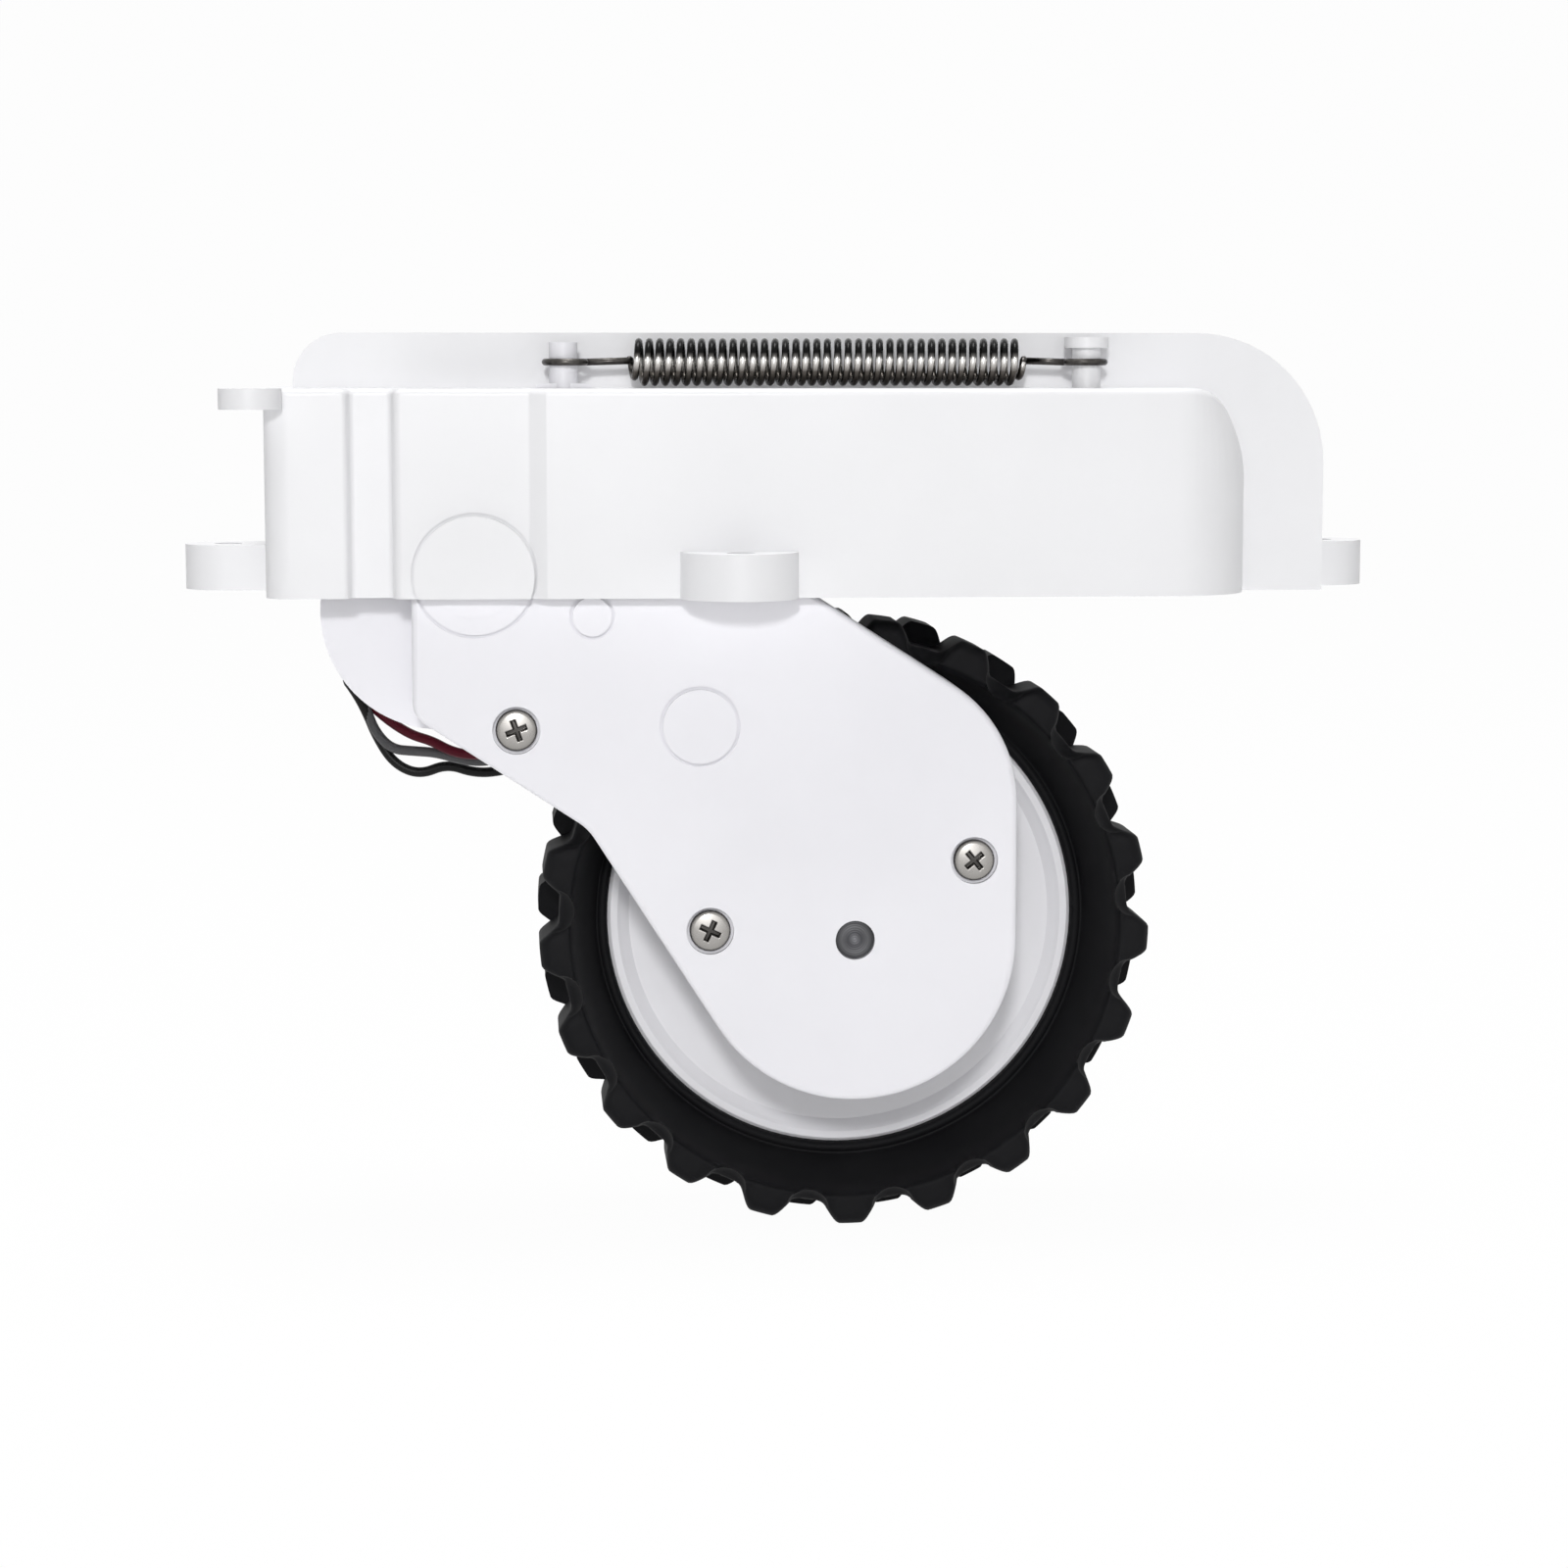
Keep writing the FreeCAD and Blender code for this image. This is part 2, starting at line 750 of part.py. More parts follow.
def tyre():
    middle = (tyre_front + tyre_rear) / 2
    rows = joined(tyre_row(tyre_front, middle, 0), tyre_row(middle, tyre_rear, 0.5))
    envelope = rod(tyre_radius + 0.01, *wheel_centre, tyre_front, tyre_rear)
    envelope = rounded_edges(envelope, tyre_shoulder,
                             lambda edge: edge.Closed and edge.BoundBox.YLength < 0.01)
    body = rows.common(envelope)
    dish = turned(
        [
            (0, tyre_front - 1),
            (hub_radius + bead_width + sidewall_slope_width, tyre_front - 1),
            (hub_radius + bead_width + sidewall_slope_width, tyre_front),
            (hub_radius + bead_width, bead_front),
            (0, bead_front),
        ],
        *wheel_centre,
    )
    body = body.cut(dish).cut(rod(hub_radius + seat, *wheel_centre, bead_front - 1, tyre_rear + 1))
    # A round scoop in each shoulder between two lugs
    for lug in range(lug_count):
        for face, offset in ((tyre_front, 0.5), (tyre_rear, 0)):
            angle = lug_phase + (lug + offset) * 360 / lug_count
            x, z = polar(*wheel_centre, tyre_radius - lug_height + scoop_radius / 3, angle)
            body = body.cut(Part.makeSphere(scoop_radius, Vector(x, face, z)))
    return body


def wheel_hub():
    inner = hub_radius - hub_skin
    cup = turned(
        [
            (0, hub_face),
            (inner - 0.6, hub_face),
            (inner + 0.4, hub_lip + 0.3),
            (inner + 0.8, hub_lip),
            (hub_radius - 0.4, hub_lip),
            (hub_radius, hub_lip + 0.4),
            (hub_radius, hub_rear),
            (inner, hub_rear),
            (inner, hub_face + hub_skin),
            (0, hub_face + hub_skin),
        ],
        *wheel_centre,
    )
    boss = rod(hub_boss_radius, *wheel_centre, casing_back + swing_gap, axle_rear)
    ribs = []
    for index in range(hub_ribs):
        rib = box(
            (wheel_x + axle_radius + 1, hub_face + 1, wheel_z - rib_thickness / 2),
            (wheel_x + inner + 0.5, axle_rear - 1.5, wheel_z + rib_thickness / 2),
        )
        rib.rotate(Vector(wheel_x, 0, wheel_z), BACK, index * 360 / hub_ribs)
        ribs.append(rib)
    bore = rod(axle_radius + seat, *wheel_centre, casing_back, axle_rear + 1)
    return joined(cup, boss, *ribs).cut(bore)


def axle():
    shaft = joined(
        rod(axle_journal_radius, *wheel_centre, axle_front, cover_back + gear_float),
        rod(axle_radius, *wheel_centre, cover_back + gear_float, axle_rear),
    )
    bore = rod(screw_shank_radius + seat, *wheel_centre, axle_rear - hub_screw_bore, axle_rear + 1)
    return shaft.cut(bore)


def output_gear():
    gap = gap_facing(wheel_centre, third_centre, output_teeth)
    wheel = toothed(output_teeth, coarse_module, wheel_centre, fourth_layer, gap)
    hub = rod(axle_radius + 1.4, *wheel_centre, fourth_layer[0], third_layer[1])
    return joined(wheel, hub).cut(rod(axle_radius + seat, *wheel_centre, cover_back - 1, cavity_back))


def first_gear():
    gap = gap_facing(first_centre, motor_centre, first_wheel_teeth)
    ahead = facing(first_centre, second_centre)
    pinion_layer = (second_layer[0] - pinion_overhang, first_layer[0])
    wheel = toothed(first_wheel_teeth, fine_module, first_centre, first_layer, gap)
    pinion = toothed(first_pinion_teeth, fine_module, first_centre, pinion_layer, ahead)
    return compound_gear(first_centre, wheel, pinion, cover_back + gear_float, deep_floor - gear_float)


def second_gear():
    gap = gap_facing(second_centre, first_centre, second_wheel_teeth)
    ahead = facing(second_centre, third_centre)
    pinion_layer = (third_layer[0] - pinion_overhang, second_layer[0])
    wheel = toothed(second_wheel_teeth, fine_module, second_centre, second_layer, gap)
    pinion = toothed(second_pinion_teeth, middle_module, second_centre, pinion_layer, ahead)
    return compound_gear(second_centre, wheel, pinion, cover_back + gear_float, cavity_back - gear_float)


def third_gear():
    gap = gap_facing(third_centre, second_centre, third_wheel_teeth)
    ahead = facing(third_centre, wheel_centre)
    pinion_layer = (fourth_layer[0], third_layer[0])
    wheel = toothed(third_wheel_teeth, middle_module, third_centre, third_layer, gap)
    pinion = toothed(third_pinion_teeth, coarse_module, third_centre, pinion_layer, ahead)
    return compound_gear(third_centre, wheel, pinion, fourth_layer[0], cavity_back - gear_float)


def motor_pinion():
    ahead = facing(motor_centre, first_centre)
    pinion_layer = (first_layer[0] - pinion_overhang, first_layer[1])
    pinion = toothed(motor_teeth, fine_module, motor_centre, pinion_layer, ahead)
    bore = rod(motor_shaft_radius + seat, *motor_centre, first_layer[0] - 1, first_layer[1] + 1)
    return pinion.cut(bore)


# Spring and leads
def spring():
    start = Vector(spring_start_x, spring_y, spring_z)
    half = spring_wire * 0.88
    sections = []
    for step in range(spring_turns * spring_steps + 1):
        turns = step / spring_steps
        along = spring_pitch * turns
        corners = [
            (along - half, spring_radius - half),
            (along + half, spring_radius - half),
            (along + half, spring_radius + half),
            (along - half, spring_radius + half),
        ]
        points = []
        for ahead, radius in corners:
            across, up = polar(0, 0, radius, 360 * turns - 90)
            points.append(start + Vector(ahead, across, up))
        sections.append(Part.makePolygon(points + points[:1]))
    parts = [Part.makeLoft(sections, True, True)]
    ends = (
        (lever_post_x, -1, start.x),
        (housing_post_x, 1, start.x + spring_pitch * spring_turns),
    )
    for post_x, direction, coil_x in ends:
        # Pulled tight, each eye bears on the far side of its post
        pulled = hook_radius - spring_wire - post_radius - seat
        middle = post_x - direction * pulled
        eye = Part.makeTorus(hook_radius, spring_wire, Vector(middle, spring_y, spring_z), UP)
        low, high = sorted((middle - direction * hook_radius, coil_x))
        shank_start = Vector(low, spring_y, spring_z)
        shank = Part.makeCylinder(spring_wire, high - low, shank_start, Vector(1, 0, 0))
        link = post(spring_wire, coil_x, spring_y, spring_z - spring_radius, spring_z)
        parts += [eye, shank, link]
    return joined(*parts)


def lead(points):
    # A round wire along straight runs joined by tangent arcs, each as large as its two runs allow
    vectors = [Vector(*point) for point in points]
    edges = []
    radii = []
    last = vectors[0]
    for before, here, after in zip(vectors, vectors[1:], vectors[2:]):
        back = before - here
        ahead = after - here
        run = min(back.Length, ahead.Length)
        back.normalize()
        ahead.normalize()
        half = back.getAngle(ahead) / 2
        reach = 0.45 * run
        radius = reach * math.tan(half)
        middle = back + ahead
        middle.normalize()
        waist = here + middle * (radius / math.sin(half) - radius)
        radii.append(radius)
        start = here + back * reach
        end = here + ahead * reach
        edges.append(Part.LineSegment(last, start).toShape())
        edges.append(Part.Arc(start, waist, end).toShape())
        last = end
    edges.append(Part.LineSegment(last, vectors[-1]).toShape())
    path = Part.Wire(edges)
    along = vectors[1] - vectors[0]
    section = Part.Wire(Part.Circle(vectors[0], along, lead_radius).toShape())
    tube = path.makePipeShell([section], True, False)
    print("lead radii", [round(radius, 1) for radius in radii], "length", round(path.Length, 1),
          "volume ratio", round(tube.Volume / (math.pi * lead_radius ** 2 * path.Length), 3))
    return tube


def lead_route(place):
    # From the board's rim out through the notch, in a slack loop round below the pocket, and up on its
    # right to the plug. The leads lie side by side: place is -1 for the inner one, 0 and 1 for the outer.
    board_y = (board_front + board_rear) / 2
    rim_angle = notch_angle - lead_spread * place
    near = lead_circle + lead_pitch * (place + 1)
    top_x = plug_x + plug_pitch * place
    far = top_x - motor_x
    slack = lead_slack + lead_slack_step * place
    route = []
    for radius in (board_radius + 0.03, near):
        x, z = polar(*motor_centre, radius, rim_angle)
        route.append((x, board_y, z))
    for step in range(1, lead_steps + 1):
        part = step / lead_steps
        bow = math.sin(math.pi * part)
        radius = near + (far - near) * part * part * (3 - 2 * part) + slack * bow
        x, z = polar(*motor_centre, radius, rim_angle * (1 - part))
        route.append((x, board_y + (plug_y - board_y) * part - lead_dip * bow, z))
    return route + [(top_x, plug_y, plug_bottom)]


def wire_plug():
    body = box(
        (plug_x - plug_width / 2, plug_y - plug_depth / 2, plug_bottom),
        (plug_x + plug_width / 2, plug_y + plug_depth / 2, plug_top),
    )
    return rounded_edges(body, 0.4, lambda edge: edge.BoundBox.ZLength > 1)


def gear_pin(centre, back):
    return rod(gear_pin_radius, *centre, cover_back - pin_depth, back)


os.makedirs("parts", exist_ok=True)
write("housing", housing())
write("pivot_pin", rod(pivot_pin_radius, pivot_x, pivot_z, panel_front, second_layer[1] - 1.4))
write("spring", spring())
write("wire_plug", wire_plug())
for place, colour in ((-1, "red"), (0, "grey"), (1, "black")):
    write("lead_" + colour, lead(lead_route(place)))
write("gearbox_case", gearbox_case())
write("gearbox_cover", gearbox_cover())
write("cover_screws", cover_screws())
write("motor_can", motor_can())
write("motor_end_bell", motor_end_bell())
write("motor_terminals", motor_terminals())
write("encoder_board", encoder_board())
write("motor_cap", motor_cap())
write("cap_screws", Part.makeCompound([
    pan_screw(*polar(*motor_centre, lug_circle, angle), cap_rear, 6.0, -1)
    for angle in lug_angles
]))
write("motor_screws", Part.makeCompound([
    pan_screw(*polar(*motor_centre, motor_screw_circle, angle), deep_floor, 4.0)
    for angle in motor_screw_angles
]))
write("first_gear_pin", gear_pin(first_centre, deep_floor + pin_depth))
write("second_gear_pin", gear_pin(second_centre, cavity_back + pin_depth))
write("third_gear_pin", gear_pin(third_centre, cavity_back + pin_depth))
write("axle_bearing", ring(bearing_radius, axle_radius + running, *wheel_centre,
                           casing_back - bearing_length, casing_back))
write("motor_shaft", rod(motor_shaft_radius, motor_x, motor_z, first_layer[0] - 0.4, magnet_rear + 0.1))
write("motor_pinion", motor_pinion())
write("encoder_magnet", ring(magnet_radius, motor_shaft_radius + seat, *motor_centre,
                             magnet_front, magnet_rear))
write("first_gear", first_gear())
write("second_gear", second_gear())
write("third_gear", third_gear())
write("axle", axle())
write("output_gear", output_gear())
write("wheel_hub", wheel_hub())
write("tyre", tyre())
write("hub_washer", ring(4.5, screw_shank_radius + 0.2, *wheel_centre, axle_rear, axle_rear + 0.8))
write("hub_screw", pan_screw(wheel_x, wheel_z, axle_rear + 0.8, 5.0, -1))
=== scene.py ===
import math

import bmesh
import bpy
import numpy as np
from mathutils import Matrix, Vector


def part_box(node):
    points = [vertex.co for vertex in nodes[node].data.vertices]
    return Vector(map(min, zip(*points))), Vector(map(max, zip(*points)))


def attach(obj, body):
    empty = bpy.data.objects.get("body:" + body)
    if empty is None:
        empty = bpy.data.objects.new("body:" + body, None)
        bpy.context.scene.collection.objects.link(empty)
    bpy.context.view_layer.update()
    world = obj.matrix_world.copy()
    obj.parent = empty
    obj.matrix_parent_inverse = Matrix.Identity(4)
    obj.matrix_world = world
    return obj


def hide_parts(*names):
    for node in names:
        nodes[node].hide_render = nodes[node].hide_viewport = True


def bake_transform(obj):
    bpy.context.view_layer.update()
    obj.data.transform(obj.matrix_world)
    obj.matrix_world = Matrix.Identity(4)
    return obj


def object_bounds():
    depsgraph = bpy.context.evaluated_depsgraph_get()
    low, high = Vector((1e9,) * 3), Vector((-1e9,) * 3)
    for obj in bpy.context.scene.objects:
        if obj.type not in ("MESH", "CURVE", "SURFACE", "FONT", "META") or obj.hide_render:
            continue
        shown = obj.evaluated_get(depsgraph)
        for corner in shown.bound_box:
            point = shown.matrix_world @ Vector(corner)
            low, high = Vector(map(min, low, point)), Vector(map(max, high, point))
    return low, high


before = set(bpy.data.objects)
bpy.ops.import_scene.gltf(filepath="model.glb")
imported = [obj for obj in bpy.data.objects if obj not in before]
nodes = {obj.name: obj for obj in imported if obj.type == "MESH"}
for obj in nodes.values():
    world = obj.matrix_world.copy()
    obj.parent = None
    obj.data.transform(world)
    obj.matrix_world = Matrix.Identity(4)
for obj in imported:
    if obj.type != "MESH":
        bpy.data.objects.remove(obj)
cadLow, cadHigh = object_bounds()
print("frame loaded,", len(nodes), "nodes")

# Lengths are in metres and angles in degrees, where no note says otherwise


# Meshes from grids of points

def meshFromGrid(name, grid, closeRows=False, closeColumns=False, capEnds=False):
    # Each point of the grid joins its neighbours along rows and columns, and a closed direction
    # wraps round
    rows, columns = grid.shape[:2]
    index = np.arange(rows * columns).reshape(rows, columns)
    if closeRows:
        index = np.vstack([index, index[:1]])
    if closeColumns:
        index = np.hstack([index, index[:, :1]])
    corners = [index[:-1, :-1], index[1:, :-1], index[1:, 1:], index[:-1, 1:]]
    faces = np.stack(corners, axis=-1).reshape(-1, 4).tolist()
    if capEnds:
        faces.append(index[0, :columns].tolist())
        faces.append(index[-1, :columns][::-1].tolist())
    mesh = bpy.data.meshes.new(name)
    mesh.from_pydata(grid.reshape(-1, 3).tolist(), [], faces)
    mesh.polygons.foreach_set("use_smooth", np.ones(len(faces), bool))
    mesh.update()
    piece = bpy.data.objects.new(name, mesh)
    bpy.context.scene.collection.objects.link(piece)
    return piece


def joinPieces(pieces):
    # The first piece takes in the others' meshes
    with bpy.context.temp_override(active_object=pieces[0], selected_editable_objects=pieces):
        bpy.ops.object.join()
    return pieces[0]


def readPoints(rows, field):
    # Three numbers for each vertex ("co") or face ("center"), as the rows of one array
    values = np.empty(len(rows) * 3, np.float32)
    rows.foreach_get(field, values)
    return values.reshape(-1, 3).astype(float)


def tubeAlong(name, path, radius, sides):
    # A round section carried along the path: the point at angle a is the path's point plus the
    # radius times (side * cos a + up * sin a), where side is the last section's side less its
    # share along the new way
    slant = (0.3, 0.9, 0.2)
    ahead = np.gradient(path, axis=0)
    ahead /= np.linalg.norm(ahead, axis=1, keepdims=True)
    side = np.empty_like(ahead)
    last = np.cross(ahead[0], slant)
    for step, direction in enumerate(ahead):
        last = last - direction * (last @ direction)
        last = last / np.linalg.norm(last)
        side[step] = last
    up = np.cross(ahead, side)
    turn = np.linspace(0, 2 * np.pi, sides, endpoint=False)
    ring = side[:, None] * np.cos(turn)[None, :, None] + up[:, None] * np.sin(turn)[None, :, None]
    return meshFromGrid(name, path[:, None] + radius * ring, closeColumns=True, capEnds=True)


def smoothRoute(points, steps):
    # A quadratic B-spline held at both ends: each inner point bends the line between the midpoints
    # beside it
    points = np.asarray(points, float)
    middles = (points[1:] + points[:-1]) / 2
    middles[0] = points[0]
    middles[-1] = points[-1]
    t = np.linspace(0, 1, steps, endpoint=False)[None, :, None]
    start, bend, end = middles[:-1, None], points[1:-1, None], middles[1:, None]
    curve = (1 - t) ** 2 * start + 2 * t * (1 - t) * bend + t ** 2 * end
    return np.vstack([curve.reshape(-1, 3), points[-1:]])


def smoothStep(value):
    # Three times the square less twice the cube, which rises from 0 to 1 and is level at both
    value = np.clip(value, 0, 1)
    return value * value * (3 - 2 * value)


# Materials: noise scales count waves in a metre, and bump depths are in metres

plastic = {
    "cloudScale": 38,
    "cloudDetail": 4,
    "grainScale": 2600,
    "grainDetail": 2,
    "grainStrength": 0.35,
    "grainDepth": 0.000012,
    "glossSpread": 0.07,
    "reflect": 0.5,
    "sleeveGrain": 1800,
    "sleeveRoughness": 0.4,
}

metal = {
    "detail": 4,
    "streakScale": 900,
    "streakPolish": 0.1,
    "wearScale": 1400,
    "wearPolish": 0.08,
    "dulling": 0.12,
    "bumpStrength": 0.2,
    "bumpDepth": 0.00001,
    "ringAngle": 60,
    "ringStrength": 0.3,
    "ringDepth": 0.00002,
}

tread = {
    "tones": [(0.35, (0.005, 0.005, 0.006)), (0.8, (0.009, 0.009, 0.01))],
    "dustScale": 130,
    "dustDetail": 6,
    "skinScale": 3200,
    "skinDetail": 3,
    "skinStrength": 0.4,
    "skinDepth": 0.00002,
    "gloss": (0.5, 0.7),
    "reflect": 0.1,
}


def startMaterial(name, colour, roughness, metallic=0.0):
    material = bpy.data.materials.new(name)
    material.use_nodes = True
    tree = material.node_tree
    shader = tree.nodes["Principled BSDF"]
    shader.inputs["Base Color"].default_value = (*colour, 1)
    shader.inputs["Roughness"].default_value = roughness
    shader.inputs["Metallic"].default_value = metallic
    return material, tree, shader


def objectPlace(tree):
    # The place on the piece, in metres
    return tree.nodes.new("ShaderNodeTexCoord").outputs["Object"]


def noiseFor(tree, scale, detail, stretch=(1, 1, 1)):
    # Noise from 0 to 1, drawn out where the stretch is below that of the other axes
    mapping = tree.nodes.new("ShaderNodeMapping")
    mapping.inputs["Scale"].default_value = stretch
    noise = tree.nodes.new("ShaderNodeTexNoise")
    noise.inputs["Scale"].default_value = scale
    noise.inputs["Detail"].default_value = detail
    tree.links.new(objectPlace(tree), mapping.inputs["Vector"])
    tree.links.new(mapping.outputs["Vector"], noise.inputs["Vector"])
    return noise.outputs["Fac"]


def shareBetween(tree, source, low, high):
    # 0 where the source is low, 1 where it is high, and even between them
    share = tree.nodes.new("ShaderNodeMapRange")
    share.inputs["From Min"].default_value = low
    share.inputs["From Max"].default_value = high
    tree.links.new(source, share.inputs["Value"])
    return share.outputs["Result"]


def colourBy(tree, shader, source, stops):
    # The colour runs through the stops, each of them a value of the source and its tone
    ramp = tree.nodes.new("ShaderNodeValToRGB")
    first, last = ramp.color_ramp.elements
    first.position = stops[0][0]
    last.position = stops[-1][0]
    first.color = (*stops[0][1], 1)
    last.color = (*stops[-1][1], 1)
    for position, tone in stops[1:-1]:
        ramp.color_ramp.elements.new(position).color = (*tone, 1)
    tree.links.new(source, ramp.inputs["Fac"])
    tree.links.new(ramp.outputs["Color"], shader.inputs["Base Color"])


def glossBy(tree, shader, source, low, high):
    # The roughness is low where the source is 0 and high where it is 1
    span = tree.nodes.new("ShaderNodeMapRange")
    span.inputs["To Min"].default_value = low
    span.inputs["To Max"].default_value = high
    tree.links.new(source, span.inputs["Value"])
    tree.links.new(span.outputs["Result"], shader.inputs["Roughness"])


def bumpBy(tree, shader, height, strength, depth):
    bump = tree.nodes.new("ShaderNodeBump")
    bump.inputs["Strength"].default_value = strength
    bump.inputs["Distance"].default_value = depth
    tree.links.new(height, bump.inputs["Height"])
    tree.links.new(bump.outputs["Normal"], shader.inputs["Normal"])


def twoTones(dark, light):
    # Dark up to 0.3 of the noise, light from 0.7, and even between them
    return [(0.3, dark), (0.7, light)]


def mouldedPlastic(
    name,
    dark,
    light,
    roughness,
    grain=plastic["grainScale"],
    depth=plastic["grainDepth"],
    reflect=plastic["reflect"],
):
    # Broad cloudy tone, a fine spark-eroded grain, and a gloss that varies a little with the cloud
    material, tree, shader = startMaterial(name, light, roughness)
    shader.inputs["Specular IOR Level"].default_value = reflect
    cloud = noiseFor(tree, plastic["cloudScale"], plastic["cloudDetail"])
    fine = noiseFor(tree, grain, plastic["grainDetail"])
    spread = plastic["glossSpread"]
    colourBy(tree, shader, cloud, twoTones(dark, light))
    glossBy(tree, shader, cloud, roughness - spread, roughness + spread)
    bumpBy(tree, shader, fine, plastic["grainStrength"], depth)
    return material


def leadSleeve(name, dark, light, reflect):
    # Soft plastic with a coarser skin and little shine
    return mouldedPlastic(
        name, dark, light, plastic["sleeveRoughness"], grain=plastic["sleeveGrain"], reflect=reflect
    )


def drawnMetal(name, dark, light, roughness, stretch=(1, 1, 1), scale=metal["streakScale"]):
    # Metal with streaks along its working direction in colour and gloss
    material, tree, shader = startMaterial(name, light, roughness, 1.0)
    streak = noiseFor(tree, scale, metal["detail"], stretch)
    colourBy(tree, shader, streak, twoTones(dark, light))
    glossBy(tree, shader, streak, roughness - metal["streakPolish"], roughness + metal["dulling"])
    bumpBy(tree, shader, streak, metal["bumpStrength"], metal["bumpDepth"])
    return material


def paintedLightSteel(name, axis, low, high, stops, roughness):
    # Steel whose tone follows one axis from low to high, to paint light and shade on it, with fine
    # wear marks in gloss and bump
    material, tree, shader = startMaterial(name, stops[0][1], roughness, 1.0)
    parts = tree.nodes.new("ShaderNodeSeparateXYZ")
    tree.links.new(objectPlace(tree), parts.inputs["Vector"])
    wear = noiseFor(tree, metal["wearScale"], metal["detail"])
    colourBy(tree, shader, shareBetween(tree, parts.outputs[axis], low, high), stops)
    glossBy(tree, shader, wear, roughness - metal["wearPolish"], roughness + metal["dulling"])
    bumpBy(tree, shader, wear, metal["bumpStrength"], metal["bumpDepth"])
    return material


def turnedSteel(name, centre, reach, stops, roughness):
    # Steel turned about a line along Y: the tone, which paints shade, follows the distance from the
    #     # centre as a share of the reach, and fine rings lie at the sine of that share times
    #     ringAngle
    material, tree, shader = startMaterial(name, stops[0][1], roughness, 1.0)
    mapping = tree.nodes.new("ShaderNodeMapping")
    mapping.inputs["Location"].default_value = (-centre.x, 0, -centre.z)
    mapping.inputs["Scale"].default_value = (1, 0, 1)
    tree.links.new(objectPlace(tree), mapping.inputs["Vector"])
    length = tree.nodes.new("ShaderNodeVectorMath")
    length.operation = "LENGTH"
    tree.links.new(mapping.outputs["Vector"], length.inputs[0])
    share = shareBetween(tree, length.outputs["Value"], 0, reach)
    count = tree.nodes.new("ShaderNodeMath")
    count.operation = "MULTIPLY"
    count.inputs[1].default_value = metal["ringAngle"]
    tree.links.new(share, count.inputs[0])
    rings = tree.nodes.new("ShaderNodeMath")
    rings.operation = "SINE"
    tree.links.new(count.outputs["Value"], rings.inputs[0])
    colourBy(tree, shader, share, stops)
    bumpBy(tree, shader, rings.outputs["Value"], metal["ringStrength"], metal["ringDepth"])
    return material


def treadRubber(name):
    # Near-black rubber with a fine matt skin and faint dusty patches
    material, tree, shader = startMaterial(name, tread["tones"][-1][1], tread["gloss"][1])
    shader.inputs["Specular IOR Level"].default_value = tread["reflect"]
    dust = noiseFor(tree, tread["dustScale"], tread["dustDetail"])
    skin = noiseFor(tree, tread["skinScale"], tread["skinDetail"])
    colourBy(tree, shader, dust, tread["tones"])
    glossBy(tree, shader, dust, *tread["gloss"])
    bumpBy(tree, shader, skin, tread["skinStrength"], tread["skinDepth"])
    return material


housingWhite = mouldedPlastic("housingWhite", (0.79, 0.79, 0.805), (0.83, 0.83, 0.845), 0.36)
armWhite = mouldedPlastic("armWhite", (0.79, 0.785, 0.82), (0.83, 0.825, 0.86), 0.38)
# The hub's white is lighter than the housing's and arm's to make up for the light its recess loses:
# painted light
hubWhitePaintedLight = mouldedPlastic("hubWhitePaintedLight", (0.86, 0.855, 0.885), (0.9, 0.895, 0.925), 0.36)
gearNylon = mouldedPlastic("gearNylon", (0.78, 0.75, 0.66), (0.86, 0.83, 0.74), 0.42)
blackNylon = mouldedPlastic("blackNylon", (0.018, 0.018, 0.02), (0.03, 0.03, 0.032), 0.45)
boardGreen = mouldedPlastic("boardGreen", (0.02, 0.12, 0.055), (0.035, 0.17, 0.08), 0.35)
ferrite = mouldedPlastic(
    "ferrite", (0.05, 0.05, 0.055), (0.09, 0.09, 0.095), 0.6, grain=1500, depth=0.00003
)
canSteel = drawnMetal("canSteel", (0.42, 0.42, 0.43), (0.56, 0.56, 0.57), 0.34, (1, 14, 1), 240)
pinSteel = drawnMetal("pinSteel", (0.4, 0.4, 0.41), (0.52, 0.52, 0.53), 0.24, (1, 10, 1), 700)
screwSteel = drawnMetal("screwSteel", (0.22, 0.21, 0.2), (0.44, 0.42, 0.4), 0.26)
hookSteel = drawnMetal("hookSteel", (0.03, 0.028, 0.026), (0.09, 0.085, 0.08), 0.3)
brass = drawnMetal("brass", (0.55, 0.4, 0.17), (0.7, 0.53, 0.25), 0.3)
bronze = drawnMetal("bronze", (0.38, 0.23, 0.11), (0.5, 0.32, 0.17), 0.45, scale=1600)
rubber = treadRubber("treadRubber")
redSleeve = leadSleeve("redSleeve", (0.06, 0.001, 0.008), (0.11, 0.003, 0.014), 0.15)
blackSleeve = leadSleeve("blackSleeve", (0.006, 0.006, 0.006), (0.011, 0.011, 0.011), 0.15)
greySleeve = leadSleeve("greySleeve", (0.07, 0.07, 0.073), (0.12, 0.12, 0.124), 0.2)
print("materials made")


# Finishes of the solids

def middleOf(node):
    low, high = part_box(node)
    return (low + high) / 2


axle = {
    "radius": 0.0025,
    "roughness": 0.3,
    # From the middle of the axle's end out to its rim, with painted shade that is darkest at the
    # rim, which lies in shade
    "tones": [
        (0.0, (0.16, 0.16, 0.17)),
        (0.3, (0.06, 0.06, 0.065)),
        (0.6, (0.1, 0.1, 0.105)),
        (1.0, (0.01, 0.01, 0.012)),
    ],
}
axlePaintedShade = turnedSteel(
    "axlePaintedShade", middleOf("axle"), axle["radius"], axle["tones"], axle["roughness"]
)

